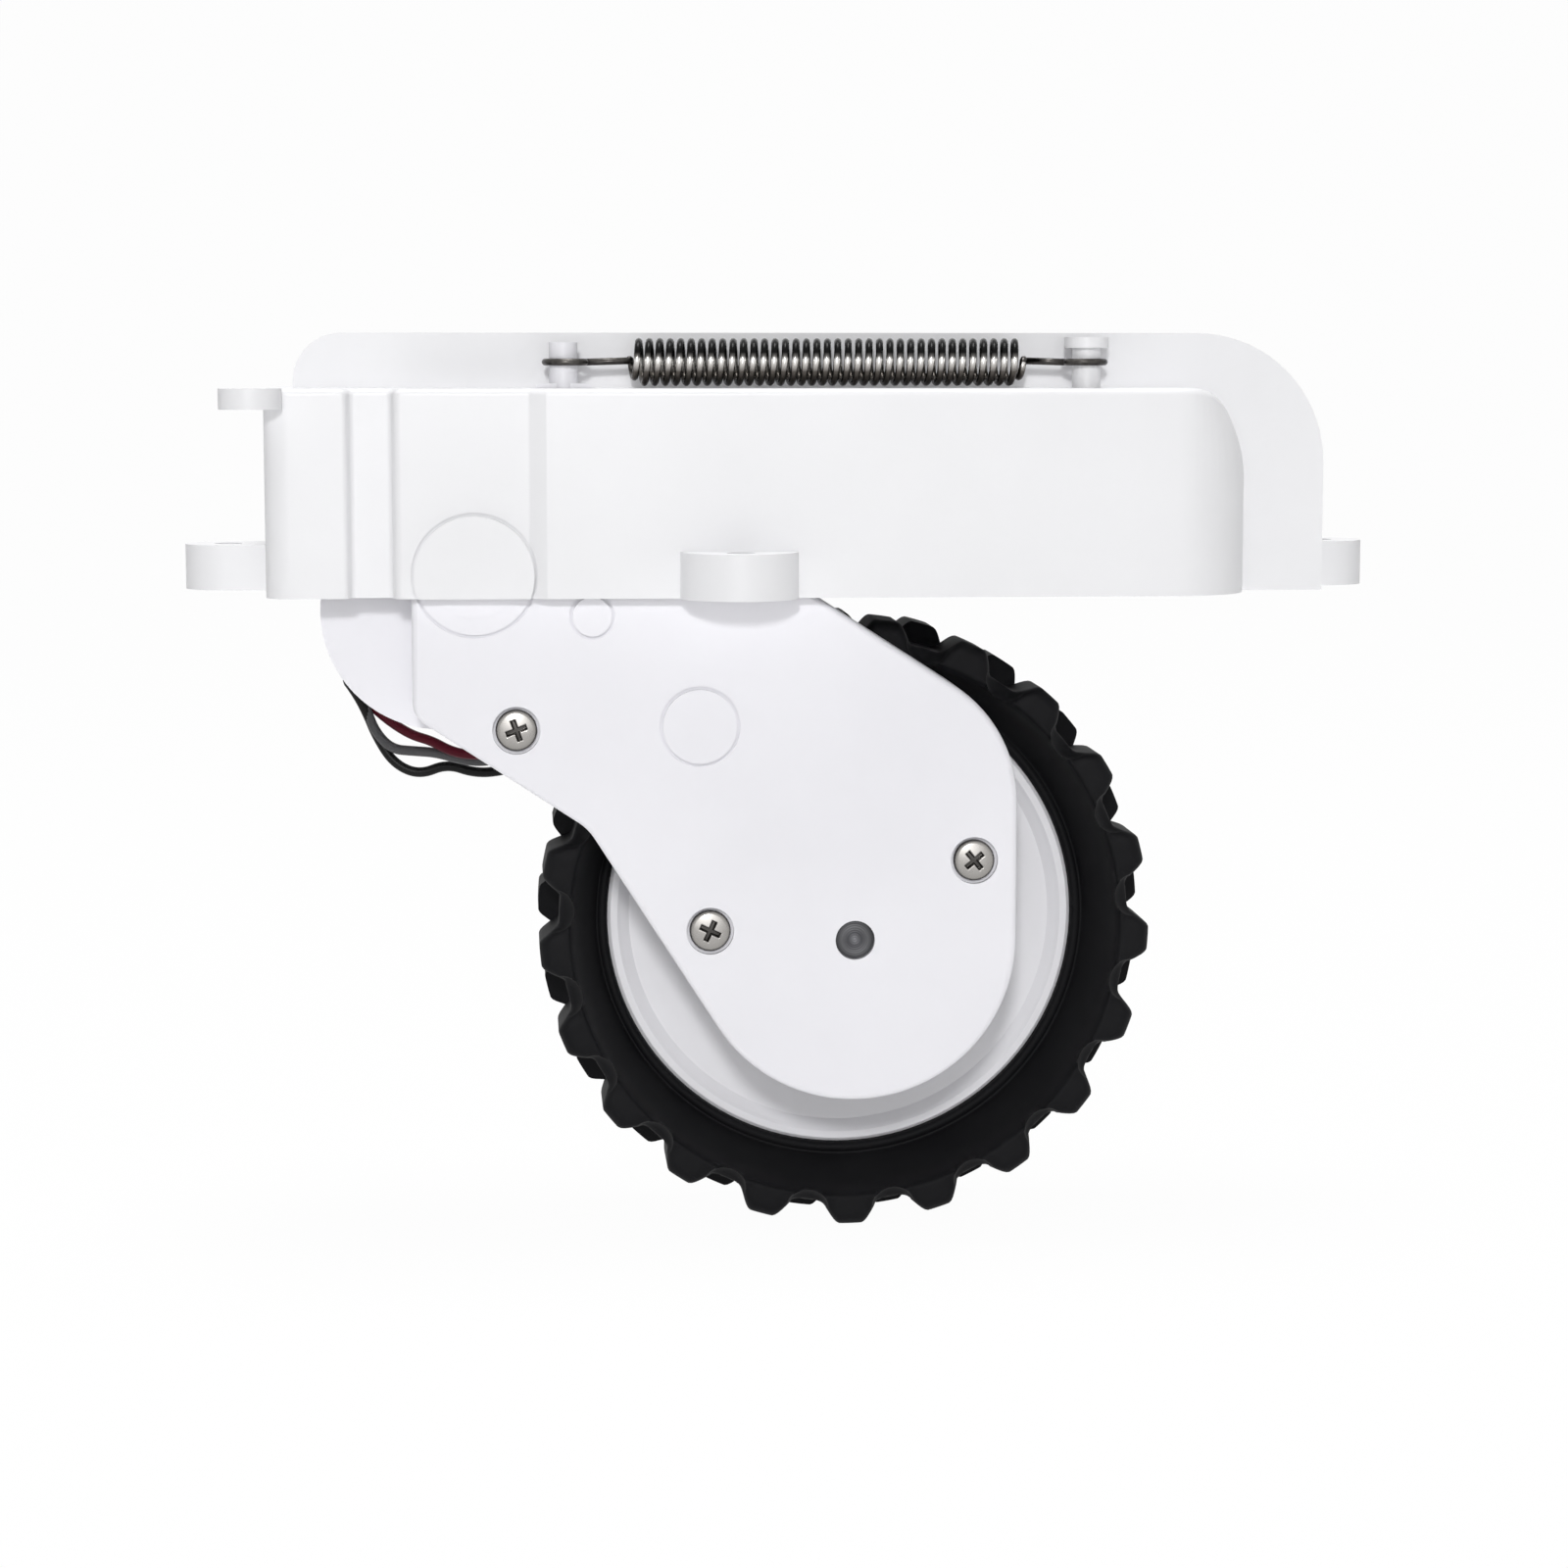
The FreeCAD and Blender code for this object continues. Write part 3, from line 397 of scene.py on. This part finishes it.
finishes = {
    "housing": housingWhite,
    "wire_plug": housingWhite,
    "gearbox_case": armWhite,
    "gearbox_cover": armWhite,
    "motor_cap": armWhite,
    "wheel_hub": hubWhitePaintedLight,
    "axle": axlePaintedShade,
    "pivot_pin": pinSteel,
    "first_gear_pin": pinSteel,
    "second_gear_pin": pinSteel,
    "third_gear_pin": pinSteel,
    "motor_shaft": pinSteel,
    "motor_can": canSteel,
    "motor_end_bell": blackNylon,
    "motor_terminals": brass,
    "motor_pinion": brass,
    "axle_bearing": bronze,
    "encoder_board": boardGreen,
    "encoder_magnet": ferrite,
    "first_gear": gearNylon,
    "second_gear": gearNylon,
    "third_gear": gearNylon,
    "output_gear": gearNylon,
    "cap_screws": screwSteel,
    "motor_screws": screwSteel,
    "hub_washer": screwSteel,
    "hub_screw": screwSteel,
}
for name, material in finishes.items():
    nodes[name].data.materials.clear()
    nodes[name].data.materials.append(material)
print("finishes on the solids")


# Housing: the solid's own form with the front block's top right corner rounded in front view

blockCorner = {
    "right": 0.0523,
    "top": 0.0233,
    # The points in front of backY bend, those of the well's two flat front levels among them
    "backY": -0.0111,
    "wellFaces": (-0.013, -0.0112),
    "reachX": 0.0075,
    "reachZ": 0.0105,
    "reachLimit": 1.001,
    "cuts": 14,
    "sharpAngle": 32,
    "weld": 1e-7,
    "flatness": 1e-6,
}


def cutNear(form, low, place, normal):
    # A plane cuts only the faces that reach into the corner's box
    near = [
        face for face in form.faces
        if max(corner.co.x for corner in face.verts) > low[0]
        and max(corner.co.z for corner in face.verts) > low[1]
        and min(corner.co.y for corner in face.verts) < blockCorner["backY"]
    ]
    around = dict.fromkeys(near)
    for face in near:
        around.update(dict.fromkeys(face.edges))
        around.update(dict.fromkeys(face.verts))
    bmesh.ops.bisect_plane(
        form, geom=list(around), plane_co=place, plane_no=normal, dist=blockCorner["weld"]
    )


def cutCorner(mesh, low, reach):
    # Upright and level planes at even shares of the corner's reach give it the points that it
    # bends by
    form = bmesh.new()
    form.from_mesh(mesh)
    bmesh.ops.remove_doubles(form, verts=form.verts, dist=blockCorner["weld"])
    for share in np.linspace(0, 1, blockCorner["cuts"], endpoint=False):
        place = low + reach * share
        cutNear(form, low, (place[0], 0, 0), (1, 0, 0))
        cutNear(form, low, (0, 0, place[1]), (0, 0, 1))
    form.to_mesh(mesh)
    form.free()


def bendCorner(mesh, low, reach):
    # With u and v as the shares of the corner's reach in X and Z, a point moves to
    # (u * sqrt(1 - v^2 / 2), v * sqrt(1 - u^2 / 2)), which bends the square corner into a quarter
    # ellipse
    points = readPoints(mesh.vertices, "co")
    shares = (points[:, [0, 2]] - low) / reach
    inside = ((shares > 0) & (shares < blockCorner["reachLimit"])).all(axis=1)
    inside &= points[:, 1] < blockCorner["backY"]
    shares = np.clip(shares, 0, 1)
    bent = shares * np.sqrt(1 - shares[:, ::-1] ** 2 / 2)
    points[inside, 0] = low[0] + reach[0] * bent[inside, 0]
    points[inside, 2] = low[1] + reach[1] * bent[inside, 1]
    mesh.vertices.foreach_set("co", points.astype(np.float32).ravel())
    mesh.update()


def refillLevel(form, level):
    # The flat faces at this y are taken off and filled again between the edges that they leave
    flat = [
        face for face in form.faces
        if max(abs(corner.co.y - level) for corner in face.verts) < blockCorner["flatness"]
    ]
    outward = flat[0].normal.copy()
    inFlat = set(flat)
    rim = [
        edge for face in flat for edge in face.edges
        if len(inFlat.intersection(edge.link_faces)) == 1
    ]
    bmesh.ops.delete(form, geom=flat, context="FACES")
    filled = bmesh.ops.triangle_fill(form, use_beauty=True, edges=rim, normal=outward)["geom"]
    for face in filled:
        if isinstance(face, bmesh.types.BMFace) and face.normal.dot(outward) < 0:
            face.normal_flip()


def finishCorner(mesh):
    # The well's flat faces take up the bent rim, and only edges past the sharp angle stay sharp
    form = bmesh.new()
    form.from_mesh(mesh)
    for level in blockCorner["wellFaces"]:
        refillLevel(form, level)
    form.normal_update()
    sharp = math.radians(blockCorner["sharpAngle"])
    for face in form.faces:
        face.smooth = True
    for edge in form.edges:
        edge.smooth = edge.calc_face_angle(0) < sharp
    form.to_mesh(mesh)
    form.free()


def roundedHousing():
    mesh = nodes["housing"].data.copy()
    reach = np.array([blockCorner["reachX"], blockCorner["reachZ"]])
    low = np.array([blockCorner["right"], blockCorner["top"]]) - reach
    cutCorner(mesh, low, reach)
    bendCorner(mesh, low, reach)
    finishCorner(mesh)
    piece = bpy.data.objects.new("roundedHousing", mesh)
    bpy.context.scene.collection.objects.link(piece)
    return piece


housingPiece = roundedHousing()
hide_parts("housing")
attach(housingPiece, "frame")
print("housing made")


# Coil spring: eye, shank, close coil, shank, eye, as one wire

spring = {
    "wire": 0.0004,
    "coilRadius": 0.0023,
    "coilStart": -0.0183,
    "pitch": 0.00118,
    "turns": 38,
    "eyeRadius": 0.00235,
    "eyeShare": 0.93,
    "eyeSteps": 40,
    "leadIn": 0.0012,
    "endSwell": 0.15,
    "perTurn": 22,
    "sides": 10,
    "roughness": 0.24,
    # From the coil's underside up to its top, painted light and shade: dark brown below, a painted
    #     # highlight across the front and back, and painted shade as black on top
    "tones": [
        (0.0, (0.03, 0.026, 0.022)),
        (0.3, (0.1, 0.09, 0.08)),
        (0.42, (0.45, 0.43, 0.41)),
        (0.54, (0.75, 0.74, 0.72)),
        (0.62, (0.12, 0.115, 0.11)),
        (0.7, (0.01, 0.01, 0.01)),
    ],
}


def springPath():
    # The coil is (x, r sin a, r cos a) about the spring's axis; r swells over the lead-in at each
    # end, and the eyes are level circles that end on the axis
    low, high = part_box("spring")
    axisY = (low.y + high.y) / 2
    axisZ = (low.z + high.z) / 2
    reach = spring["eyeRadius"]
    leftX = low.x + reach + spring["wire"]
    rightX = high.x - reach - spring["wire"]
    coilStart = spring["coilStart"]
    coilEnd = coilStart + spring["pitch"] * spring["turns"]
    around = np.linspace(0, 2 * np.pi * spring["eyeShare"], spring["eyeSteps"])
    eyeX = reach * np.cos(around)
    eyeY = axisY + reach * np.sin(around)
    eyeZ = np.full(around.shape, axisZ)
    leftEye = np.stack([leftX + eyeX, eyeY, eyeZ], axis=1)
    rightEye = np.stack([rightX - eyeX, eyeY, eyeZ], axis=1)
    share = np.linspace(0, 1, spring["turns"] * spring["perTurn"])
    turn = 2 * np.pi * spring["turns"] * share
    x = coilStart + (coilEnd - coilStart) * share
    swell = smoothStep((x - coilStart) / spring["leadIn"] + spring["endSwell"])
    swell = swell * smoothStep((coilEnd - x) / spring["leadIn"] + spring["endSwell"])
    radius = spring["coilRadius"] * swell
    coil = np.stack([x, axisY + radius * np.sin(turn), axisZ + radius * np.cos(turn)], axis=1)
    return np.vstack([leftEye[::-1], coil, rightEye]), leftX, coilStart, coilEnd, axisY, axisZ


path, leftX, coilStart, coilEnd, axisY, axisZ = springPath()
coilSpring = tubeAlong("coilSpring", path, spring["wire"], spring["sides"])
coilReach = spring["coilRadius"] + spring["wire"]
# The spring's tone along Z paints a highlight band across its middle and shade above and below it
springPaintedLight = paintedLightSteel(
    "springPaintedLight",
    "Z",
    axisZ - coilReach,
    axisZ + coilReach,
    spring["tones"],
    spring["roughness"],
)
coilSpring.data.materials.append(springPaintedLight)
coilSpring.data.materials.append(hookSteel)
centres = readPoints(coilSpring.data.polygons, "center")
offAxis = np.hypot(centres[:, 1] - axisY, centres[:, 2] - axisZ)
pastCoil = (centres[:, 0] < coilStart) | (centres[:, 0] > coilEnd)
onHook = pastCoil | (offAxis < spring["coilRadius"] / 2)
coilSpring.data.polygons.foreach_set("material_index", onHook.astype(int))
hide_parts("spring")
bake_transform(coilSpring)
print("spring made")


# Leads from the encoder board round the motor's pocket to the plug

leads = {
    "radius": 0.0006,
    "sides": 14,
    "circle": 0.0144,
    "pitch": 0.00125,
    "boardRadius": 0.01003,
    "notchAngle": -135.0,
    "spread": 8.0,
    "slack": 0.0014,
    "slackStep": 0.0006,
    "dip": 0.006,
    "dipStep": 0.002,
    "steps": 16,
    "bendSteps": 8,
    "plugPitch": 0.0018,
    # How far each lead strays from its arc at the steps out of the notch, in mm
    "stray": {
        -1: [1.2, 1.3, 1.4, 1.5, 1.3, 2.1, 2.4, 2.3, 1.9, 1.2, 0.5],
        0: [0.0, 0.1, 1.6, 2.3, 1.2, 0.5, 0.9, 1.2, 0.8, 0.4, 0.1],
        1: [-1.5, -1.8, -1.4, 0.1, 1.7, 1.7, -0.5, 0.4, 0.5, 0.2, 0.0],
    },
    "rows": [
        ("leadRed", "lead_red", "red_lead", redSleeve, -1),
        ("leadGrey", "lead_grey", "grey_lead", greySleeve, 0),
        ("leadBlack", "lead_black", "black_lead", blackSleeve, 1),
    ],
}


def leadPoints(place):
    # Straight out of the notch, then round below the motor's axis: with a share s of the way, the
    # radius is near + (far - near) * (3 s^2 - 2 s^3) + slack * sin(pi * s) + stray, and the loop
    # bows forward by (dip - dipStep * place) * sin(pi * s)
    motor = middleOf("motor_can")
    board = middleOf("encoder_board")
    plug = middleOf("wire_plug")
    rimAngle = leads["notchAngle"] - leads["spread"] * place
    near = leads["circle"] + leads["pitch"] * (place + 1)
    topX = plug.x + leads["plugPitch"] * place
    share = np.linspace(0, 1, leads["steps"] + 1)
    bow = np.sin(np.pi * share)
    slack = leads["slack"] + leads["slackStep"] * place
    stray = np.zeros(share.shape)
    stray[:len(leads["stray"][place])] = leads["stray"][place]
    radius = near + (topX - motor.x - near) * smoothStep(share) + slack * bow + stray / 1000
    angle = np.radians(rimAngle * (1 - share))
    loop = np.stack([
        motor.x + radius * np.cos(angle),
        board.y + (plug.y - board.y) * share - (leads["dip"] - leads["dipStep"] * place) * bow,
        motor.z + radius * np.sin(angle),
    ], axis=1)
    rim = [
        motor.x + leads["boardRadius"] * math.cos(angle[0]),
        board.y,
        motor.z + leads["boardRadius"] * math.sin(angle[0]),
    ]
    return np.vstack([[rim], loop, [[topX, plug.y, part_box("wire_plug")[0].z]]])


for pieceName, node, slotName, material, place in leads["rows"]:
    route = smoothRoute(leadPoints(place), leads["bendSteps"])
    lead = tubeAlong(pieceName, route, leads["radius"], leads["sides"])
    lead.data.materials.append(material)
    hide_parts(node)
    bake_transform(lead)
print("leads made")


# Tyre: a bead at the hub's lip, a sidewall that slopes forward to the rim, and two rows of rounded
# lugs that lie half a pitch apart, with a scoop in each shoulder between two lugs

tyre = {
    "lugs": 21,
    "phase": -3.3,
    "depth": 0.0024,
    "lugShoulder": 0.0015,
    "gapShoulder": 0.0008,
    "gapDip": 0.0005,
    "lugShare": 0.235,
    "lugSoft": 0.24,
    "hubGap": 0.00003,
    "beadRadius": 0.0006,
    "beadFront": -0.0009,
    "slopeStart": 0.8,
    "slopeEnd": 0.0006,
    "slopeWidth": 0.0032,
    "slopeBow": 0.0004,
    "edgeRadius": 0.0005,
    "edgeDip": 0.4,
    "rowSeam": 0.0001,
    "rearRise": 0.0004,
    "scoopRadius": 0.0026,
    "scoopCore": 0.0001,
    "perLug": 32,
}


def arcPoints(centreR, centreY, radius, start, end, count):
    # Points of a circle: its centre plus the radius times the cosine and sine of an angle, for
    # even steps between two angles in degrees
    turn = np.radians(np.linspace(start, end, count))
    return np.stack([centreR + radius * np.cos(turn), centreY + radius * np.sin(turn)], axis=1)


def linePoints(start, end, count):
    # Points at even steps after the start of a line and before its end
    return np.linspace(start, end, count + 1, endpoint=False)[1:]


def tyreSection(front, rear, inner, outer, shoulder, dip):
    # The section as (radius, y), from the front bead over the tread to the rear bead: arcs with
    # lines between them. The dip draws the tread's front and rear faces in
    bead = tyre["beadRadius"]
    beadFront = tyre["beadFront"]
    edge = tyre["edgeRadius"]
    seam = tyre["rowSeam"]
    slopeFoot = inner + 2 * bead
    slopeTop = slopeFoot + tyre["slopeWidth"]
    slopeStartY = beadFront + tyre["slopeStart"] * bead
    shoulderR = outer - shoulder
    middle = (front + rear) / 2
    slope = linePoints((slopeFoot, slopeStartY), (slopeTop, front + tyre["slopeEnd"]), 14)
    slope[:, 0] += tyre["slopeBow"] * np.sin(np.linspace(0, np.pi, len(slope)))
    return np.vstack([
        arcPoints(inner + bead, beadFront + bead, bead, -180, -20, 9),
        slope,
        arcPoints(slopeTop + edge, front + edge, edge, -160, -95, 4),
        linePoints((slopeTop + edge, front + dip * tyre["edgeDip"]), (shoulderR, front + dip), 6),
        arcPoints(shoulderR, front + dip + shoulder, shoulder, -90, -5, 8),
        linePoints((outer, front + dip + shoulder), (outer, middle - seam), 12),
        [(outer, middle - seam), (outer, middle + seam)],
        linePoints((outer, middle + seam), (outer, rear - dip - shoulder), 12),
        arcPoints(shoulderR, rear - dip - shoulder, shoulder, 5, 90, 8),
        linePoints((shoulderR, rear - dip), (slopeFoot, rear - tyre["rearRise"]), 12),
        arcPoints(inner + bead, rear - bead, bead, 20, 180, 9),
    ])


def scooped(along, radius, y, centreR, centreY):
    # Points inside a ball about (0, centreR, centreY) are pushed out to its surface
    away = np.stack([along, radius - centreR, y - centreY], axis=-1)
    distance = np.linalg.norm(away, axis=-1, keepdims=True)
    away *= np.maximum(1, tyre["scoopRadius"] / np.maximum(distance, tyre["scoopCore"]))
    return away[..., 0], away[..., 1] + centreR, away[..., 2] + centreY


def treadedTyre():
    # Each point lies between the section through a lug and the section through a gap, by how far
    # its angle is from the middle of a lug in its row
    low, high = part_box("tyre")
    hubLow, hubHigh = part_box("wheel_hub")
    centre = middleOf("tyre")
    inner = (hubHigh.x - hubLow.x) / 2 + tyre["hubGap"]
    outer = (high.x - low.x) / 2
    floor = outer - tyre["depth"]
    lugSection = tyreSection(low.y, high.y, inner, outer, tyre["lugShoulder"], 0)
    gapSection = tyreSection(low.y, high.y, inner, floor, tyre["gapShoulder"], tyre["gapDip"])
    inFrontRow = lugSection[:, 1] < centre.y
    pitch = 2 * np.pi / tyre["lugs"]
    turn = np.linspace(0, 2 * np.pi, tyre["lugs"] * tyre["perLug"], endpoint=False)
    places = turn[:, None] / pitch + np.where(inFrontRow, 0.0, 0.5)[None, :]
    fromLug = np.abs(places - np.round(places))
    lugness = smoothStep((tyre["lugShare"] - fromLug) / tyre["lugSoft"] + 0.5)
    section = gapSection[None] + (lugSection - gapSection)[None] * lugness[:, :, None]
    radius = section[:, :, 0]
    fromGap = places - np.floor(places) - 0.5
    along = fromGap * pitch * radius
    centreR = floor + tyre["scoopRadius"] / 3
    faceY = np.where(inFrontRow, low.y, high.y)[None, :]
    moved, radius, y = scooped(along, radius, section[:, :, 1], centreR, faceY)
    angle = turn[:, None] + math.radians(tyre["phase"]) + (moved - along) / radius
    x = centre.x + radius * np.cos(angle)
    z = centre.z + radius * np.sin(angle)
    grid = np.stack([x, y, z], axis=2)
    return meshFromGrid("treadedTyre", grid, closeRows=True, closeColumns=True)


tyrePiece = treadedTyre()
tyrePiece.data.materials.append(rubber)
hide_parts("tyre")
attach(tyrePiece, "wheel")
print("tyre made")


# Cover screws with cross recesses

screws = {
    "headRadius": 0.00235,
    "headHeight": 0.0011,
    "seatBehind": 0.0012,
    "apart": 0.003,
    "domeDrop": 0.00025,
    "rimStart": 0.8,
    "rimDrop": 0.0004,
    "rimTurn": 0.999,
    "slotHalf": 0.00026,
    "slotReach": 0.0012,
    "slotDepth": 0.0008,
    "slotWall": 0.00016,
    "innerRing": 0.02,
    "rings": 44,
    "sides": 96,
    "turns": [20, 65, 40],
    "roughness": 0.26,
    # Painted shade: bright on the dome, darker down the rim and in the recess, where shade falls
    "tones": [
        (0.1, (0.4, 0.385, 0.37)),
        (0.36, (0.28, 0.27, 0.255)),
        (0.6, (0.1, 0.095, 0.09)),
        (1.0, (0.04, 0.038, 0.036)),
    ],
}


def screwHead(name, centreX, centreZ, seatY, turnDegrees):
    # Height over the head's disc: a dome that falls with the square of the radius, less a rounded
    # rim and less two crossed slots whose walls slope to the slots' depth
    share = np.concatenate([np.linspace(screws["innerRing"], 1, screws["rings"]), [1.0]])
    turn = np.linspace(0, 2 * np.pi, screws["sides"], endpoint=False)
    radius = share[:, None] * screws["headRadius"] * np.ones(turn.shape)[None, :]
    x = radius * np.cos(turn)
    z = radius * np.sin(turn)
    fall = np.clip((share - screws["rimStart"]) / (1 - screws["rimStart"]), 0, 1)[:, None]
    rim = screws["rimDrop"] * (1 - np.sqrt(1 - fall ** 2 * screws["rimTurn"]))
    dome = screws["headHeight"] - screws["domeDrop"] * share[:, None] ** 2 - rim
    angle = math.radians(turnDegrees)
    across = x * math.cos(angle) + z * math.sin(angle)
    along = z * math.cos(angle) - x * math.sin(angle)
    first = np.minimum(screws["slotHalf"] - np.abs(across), screws["slotReach"] - np.abs(along))
    second = np.minimum(screws["slotHalf"] - np.abs(along), screws["slotReach"] - np.abs(across))
    recess = smoothStep(np.maximum(first, second) / screws["slotWall"] + 0.5) * screws["slotDepth"]
    height = dome - recess
    height[-1] = 0
    grid = np.stack([centreX + x, seatY - height, centreZ + z], axis=2)
    return meshFromGrid(name, grid, closeColumns=True, capEnds=True)


def coverScrews():
    # The heads' places come from the three solids of the screws' node, which lie apart along X
    points = readPoints(nodes["cover_screws"].data.vertices, "co")
    order = np.argsort(points[:, 0])
    groups = np.split(order, np.where(np.diff(points[order, 0]) > screws["apart"])[0] + 1)
    heads = []
    for number, (group, turnDegrees) in enumerate(zip(groups, screws["turns"])):
        solid = points[group]
        centre = (solid.min(0) + solid.max(0)) / 2
        seatY = solid[:, 1].min() + screws["seatBehind"]
        heads.append(screwHead("screwHead" + str(number), centre[0], centre[2], seatY, turnDegrees))
    return joinPieces(heads)


screwPiece = coverScrews()
screwPiece.name = "coverScrews"
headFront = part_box("cover_screws")[0].y
# The heads' tone along Y paints shade down the rim and into the cross recess
headPaintedShade = paintedLightSteel(
    "headPaintedShade",
    "Y",
    headFront,
    headFront + screws["headHeight"],
    screws["tones"],
    screws["roughness"],
)
screwPiece.data.materials.append(headPaintedShade)
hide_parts("cover_screws")
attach(screwPiece, "arm")
print("screws made")


# Floor, backdrop, lamps and camera

studio = {
    "floorGap": 0.0002,
    "floorFront": -1.5,
    "floorBack": 1.2,
    "curveRadius": 0.5,
    "curveFrom": 0.1,
    "wallTop": 2.4,
    "halfWidth": 2.5,
    "steps": 12,
    "floorTone": (0.93, 0.93, 0.93),
    "floorRoughness": 0.8,
    "seenWhite": 0.97,
    "skyStrength": 0.22,
    # Name, place, aim, size and power
    "lamps": [
        ("keyLamp", (-0.1, -0.9, 0.3), (0, 0, -0.02), 0.09, 3.1),
        ("frontLamp", (-0.03, -1.4, 0.1), (0, 0, -0.02), 0.8, 2.6),
        ("topLamp", (0.0, 0.02, 0.9), (0, 0, 0), 0.4, 6.0),
    ],
}


def seenRays(tree):
    # 1 for camera, glossy and transmission rays, and 0 for the rays that light the scene
    rays = tree.nodes.new("ShaderNodeLightPath")
    seen = rays.outputs["Is Camera Ray"]
    for kind in ("Is Glossy Ray", "Is Transmission Ray"):
        either = tree.nodes.new("ShaderNodeMath")
        either.operation = "MAXIMUM"
        tree.links.new(seen, either.inputs[0])
        tree.links.new(rays.outputs[kind], either.inputs[1])
        seen = either.outputs["Value"]
    return seen


def mixInto(tree, share, first, second, end):
    # The share picks between two shaders, and the mix goes to the end node's surface
    mix = tree.nodes.new("ShaderNodeMixShader")
    tree.links.new(share, mix.inputs["Fac"])
    tree.links.new(first, mix.inputs[1])
    tree.links.new(second, mix.inputs[2])
    tree.links.new(mix.outputs["Shader"], tree.nodes[end].inputs["Surface"])


def studioWhite():
    # White to the camera and in reflections, and plainly lit otherwise, so that it still takes
    # shadows
    material, tree, shader = startMaterial(
        "studioWhite", studio["floorTone"], studio["floorRoughness"]
    )
    glow = tree.nodes.new("ShaderNodeEmission")
    glow.inputs["Color"].default_value = (1, 1, 1, 1)
    glow.inputs["Strength"].default_value = 1.0
    share = tree.nodes.new("ShaderNodeMath")
    share.operation = "MULTIPLY"
    share.inputs[1].default_value = studio["seenWhite"]
    tree.links.new(seenRays(tree), share.inputs[0])
    lit = shader.outputs["BSDF"]
    mixInto(tree, share.outputs["Value"], lit, glow.outputs["Emission"], "Material Output")
    return material


def makeStage():
    # A level floor that curves up by a quarter circle into a wall far behind, as one profile
    # carried along X
    steps = studio["steps"]
    radius = studio["curveRadius"]
    turn = np.linspace(studio["curveFrom"], np.pi / 2, steps)
    depth = np.concatenate([
        np.linspace(studio["floorFront"], studio["floorBack"], steps),
        studio["floorBack"] + radius * np.sin(turn),
        [studio["floorBack"] + radius],
    ])
    height = np.concatenate([np.zeros(steps), radius - radius * np.cos(turn), [studio["wallTop"]]])
    across = np.linspace(-studio["halfWidth"], studio["halfWidth"], 6)
    x, y = np.meshgrid(across, depth, indexing="ij")
    z = np.broadcast_to(cadLow.z - studio["floorGap"] + height, x.shape)
    floor = meshFromGrid("studioFloor", np.stack([x, y, z], axis=2))
    floor.data.materials.append(studioWhite())


def makeWorld():
    world = bpy.data.worlds.new("studioWorld")
    world.use_nodes = True
    tree = world.node_tree
    light = tree.nodes["Background"]
    seen = tree.nodes.new("ShaderNodeBackground")
    for background, strength in ((light, studio["skyStrength"]), (seen, 1.0)):
        background.inputs["Color"].default_value = (1, 1, 1, 1)
        background.inputs["Strength"].default_value = strength
    lit = light.outputs["Background"]
    mixInto(tree, seenRays(tree), lit, seen.outputs["Background"], "World Output")
    bpy.context.scene.world = world


def areaLamp(name, place, aim, size, power):
    # A round lamp at its place that faces its aim
    lamp = bpy.data.lights.new(name, "AREA")
    lamp.shape = "DISK"
    lamp.size = size
    lamp.energy = power
    holder = bpy.data.objects.new(name, lamp)
    holder.location = place
    holder.rotation_mode = "QUATERNION"
    holder.rotation_quaternion = (Vector(aim) - Vector(place)).to_track_quat("-Z", "Y")
    bpy.context.scene.collection.objects.link(holder)


camera = {
    "azimuth": -4.3,
    "elevation": 6.8,
    "distance": 0.4,
    "lens": 81.0,
    "sensor": 36,
    "nearest": 0.01,
    "target": (-0.001, -0.020, -0.0213),
}


def makeCamera():
    # The camera stands back from its target along (sin a cos e, -cos a cos e, sin e), with a as
    # the azimuth and e as the elevation
    data = bpy.data.cameras.new("photoCamera")
    data.lens = camera["lens"]
    data.sensor_width = camera["sensor"]
    data.clip_start = camera["nearest"]
    holder = bpy.data.objects.new("photoCamera", data)
    turn = math.radians(camera["azimuth"])
    rise = math.radians(camera["elevation"])
    level = math.cos(rise)
    back = Vector((math.sin(turn) * level, -math.cos(turn) * level, math.sin(rise)))
    holder.location = Vector(camera["target"]) + back * camera["distance"]
    holder.rotation_mode = "QUATERNION"
    holder.rotation_quaternion = back.to_track_quat("Z", "Y")
    bpy.context.scene.collection.objects.link(holder)
    bpy.context.scene.camera = holder


makeStage()
makeWorld()
for lamp in studio["lamps"]:
    areaLamp(*lamp)
makeCamera()
bpy.context.scene.view_settings.view_transform = "Standard"
print("stage, lamps and camera made")
